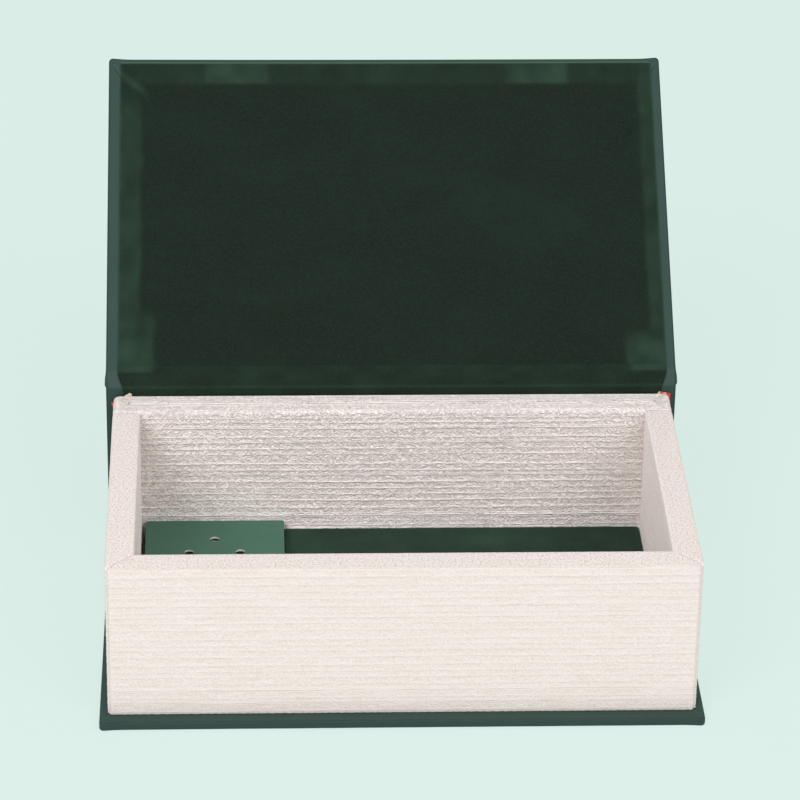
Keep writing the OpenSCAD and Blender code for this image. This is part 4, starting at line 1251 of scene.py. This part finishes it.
class BOOK_OT_kept_parts(bpy.types.Operator):
    """Finish the boards, walls, floor, card box and sound module that keep their
    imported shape"""

    bl_idname = "book.kept_parts"
    bl_label = "Kept parts"

    def execute(self, context):
        grey, wood, even = colour("greyboard"), colour("fibreboard"), (1, 1, 1)
        looks = {
            "back_board spine_board floor_card":
                grained("greyboard", grey, times(grey, 0.6), 420, (1, 1, 6), 0.92),
            "base_panel front_wall rear_wall left_wall right_wall":
                grained("fibreboard", wood, times(wood, 0.55), 650, even, 0.85, 0.00012),
            "floor_foam": grained("foam", (0.27, 0.29, 0.28), (0.12, 0.13, 0.13), 1400, even, 0.97, 0.0006, 0, 0.4),
            "sound_box_cap sound_box_bottom": sound_card(),
            "closure_magnets": grained("magnet", (0.62, 0.61, 0.58), (0.4, 0.4, 0.4), 700, even, 0.28, 0.00001,
                                       1.0, 0.08),
            "speaker_basket": grained("speaker_steel", (0.42, 0.43, 0.44), (0.25, 0.25, 0.26), 500, even, 0.4,
                                      0.00002, 1.0, 0.12),
            "speaker_cone": grained("speaker_paper", (0.035, 0.038, 0.042), (0.075, 0.075, 0.078), 900, even, 0.85,
                                    0.0001),
            "speaker_magnet": grained("speaker_magnet_steel", (0.30, 0.31, 0.32), (0.2, 0.2, 0.2), 600, even, 0.45,
                                      0.00002, 1.0, 0.15),
            "circuit_board": grained("circuit", (0.026, 0.135, 0.048), (0.34, 0.25, 0.10), 260, (1, 1.6, 1), 0.42,
                                     0.00004),
            "battery_holder": grained("black_plastic", (0.018, 0.019, 0.021), (0.035, 0.036, 0.04), 1100, even, 0.5,
                                      0.00003),
            "button_cells": grained("cell_steel", (0.60, 0.61, 0.62), (0.45, 0.46, 0.47), 420, (1, 1, 8), 0.25,
                                    0.00001, 1.0, 0.06),
            "speaker_leads": grained("copper_wire", (0.62, 0.25, 0.10), (0.35, 0.12, 0.05), 800, even, 0.3,
                                     0.00001, 1.0, 0.1),
        }
        for nodes, material in looks.items():
            for node in nodes.split():
                for place in frame["nodes"][node].material_slots:
                    place.material = material
        return {"FINISHED"}


class BOOK_OT_stage(bpy.types.Operator):
    """Set the floor, the soft lights, the even sky and the camera"""

    bl_idname = "book.stage"
    bl_label = "Stage"

    def execute(self, context):
        scene = context.scene
        st, back = scene.book_stage, colour("background")
        self.floor(st, back)
        scene.world = bpy.data.worlds.new("sky")
        sky = Nodes(scene.world, "ShaderNodeOutputWorld")
        seen, look = sky.plain(back, "ShaderNodeBackground")
        sky.show(seen, sky.get("ShaderNodeBackground", Color=(1.0, 1.0, 1.0, 1), Strength=st.sky), look)
        self.lamp("key_light", (-1.1, -1.6, 1.7), 1.3, st.key)
        self.lamp("fill_light", (1.25, -1.5, 1.7), 1.5, st.fill)
        self.camera(scene)
        scene.view_settings.view_transform = "Standard"
        return {"FINISHED"}

    def stand(self, name, data, axes=np.eye(3), where=(0, 0, 0)):
        """Puts a thing into the scene at a place, with its three axes as columns."""
        obj = bpy.data.objects.new(name, data)
        obj.matrix_world = Matrix([[*row, at] for row, at in zip(axes.tolist(), where)] + [[0, 0, 0, 1]])
        bpy.context.scene.collection.objects.link(obj)
        return obj

    def floor(self, st, back):
        """A wide grid in the background's colour, with a share of its own shading."""
        g = np.linspace(-6000, 6000, 25)
        x, y = np.meshgrid(g, g, indexing="ij")
        mesh = bpy.data.meshes.new("floor")
        places = points(x, y, -0.12).reshape(-1, 3) * MM
        mesh.from_pydata(places.tolist(), [], quads(np.arange(x.size).reshape(x.shape)).tolist())
        mesh.materials.append(bpy.data.materials.new("floor"))
        f = Nodes(mesh.materials[0], "ShaderNodeOutputMaterial")
        seen, look = f.plain(back, "ShaderNodeEmission")
        matte = f.get("ShaderNodeBsdfDiffuse", Color=(*(0.5 * c + 0.4 for c in back), 1))
        f.show(seen * (1 - st.shadow), matte, look)
        self.stand("floor", mesh)

    def lamp(self, name, where, across, power):
        """A square lamp turned to the middle of the tray."""
        data = bpy.data.lights.new(name, "AREA")
        data.size, data.energy = across, power
        back = np.array(where) - [0, 0, 0.05]
        right = np.cross([0, 0, 1], back)
        axes = [v / np.linalg.norm(v) for v in (right, np.cross(back, right), back)]
        self.stand(name, data, np.stack(axes, 1), where)

    def camera(self, scene):
        """The camera of the photograph, by its turns about Z, X and its own axis."""

        def turn(degrees, i, j):
            """A turn in the plane of two axes."""
            m, a = np.eye(3), math.radians(degrees)
            m[[i, i, j, j], [i, j, i, j]] = math.cos(a), -math.sin(a), math.sin(a), math.cos(a)
            return m

        data = bpy.data.cameras.new("camera")
        data.lens, data.sensor_width, data.clip_start, data.clip_end = 174.677, 36, 0.05, 50
        axes = turn(-2.663, 0, 1) @ turn(90 - 28.085, 1, 2) @ turn(0.952, 0, 1)
        scene.camera = self.stand("camera", data, axes, (-0.059922, -1.291683, 0.790222))


STEPS = (BOOK_OT_leatherette, BOOK_OT_cover_core, BOOK_OT_velvet, BOOK_OT_page_paper, BOOK_OT_headbands,
         BOOK_OT_kept_parts, BOOK_OT_stage)
GROUPS = {"book_sizes": BookSizes, "book_colours": BookColours, "book_stage": BookStage}


class BOOK_PT_panel(bpy.types.Panel):
    """Lists the box's sizes, colours and operators"""

    bl_idname = "BOOK_PT_panel"
    bl_label = "Book box"
    bl_space_type = "VIEW_3D"
    bl_region_type = "UI"
    bl_category = "Book box"

    def draw(self, context):
        for name, group in GROUPS.items():
            column = self.layout.column(align=True)
            for key in group.__annotations__:
                column.prop(getattr(context.scene, name), key)
        for step in STEPS:
            self.layout.operator(step.bl_idname)


def register():
    for cls in (*GROUPS.values(), *STEPS, BOOK_PT_panel):
        bpy.utils.register_class(cls)
    for name, cls in GROUPS.items():
        setattr(bpy.types.Scene, name, PointerProperty(type=cls))


def unregister():
    for name in GROUPS:
        delattr(bpy.types.Scene, name)
    for cls in reversed((*GROUPS.values(), *STEPS, BOOK_PT_panel)):
        bpy.utils.unregister_class(cls)


def main():
    register()
    for step in STEPS:
        group, name = step.bl_idname.split(".")
        getattr(getattr(bpy.ops, group), name)()


if __name__ == "__main__":
    main()
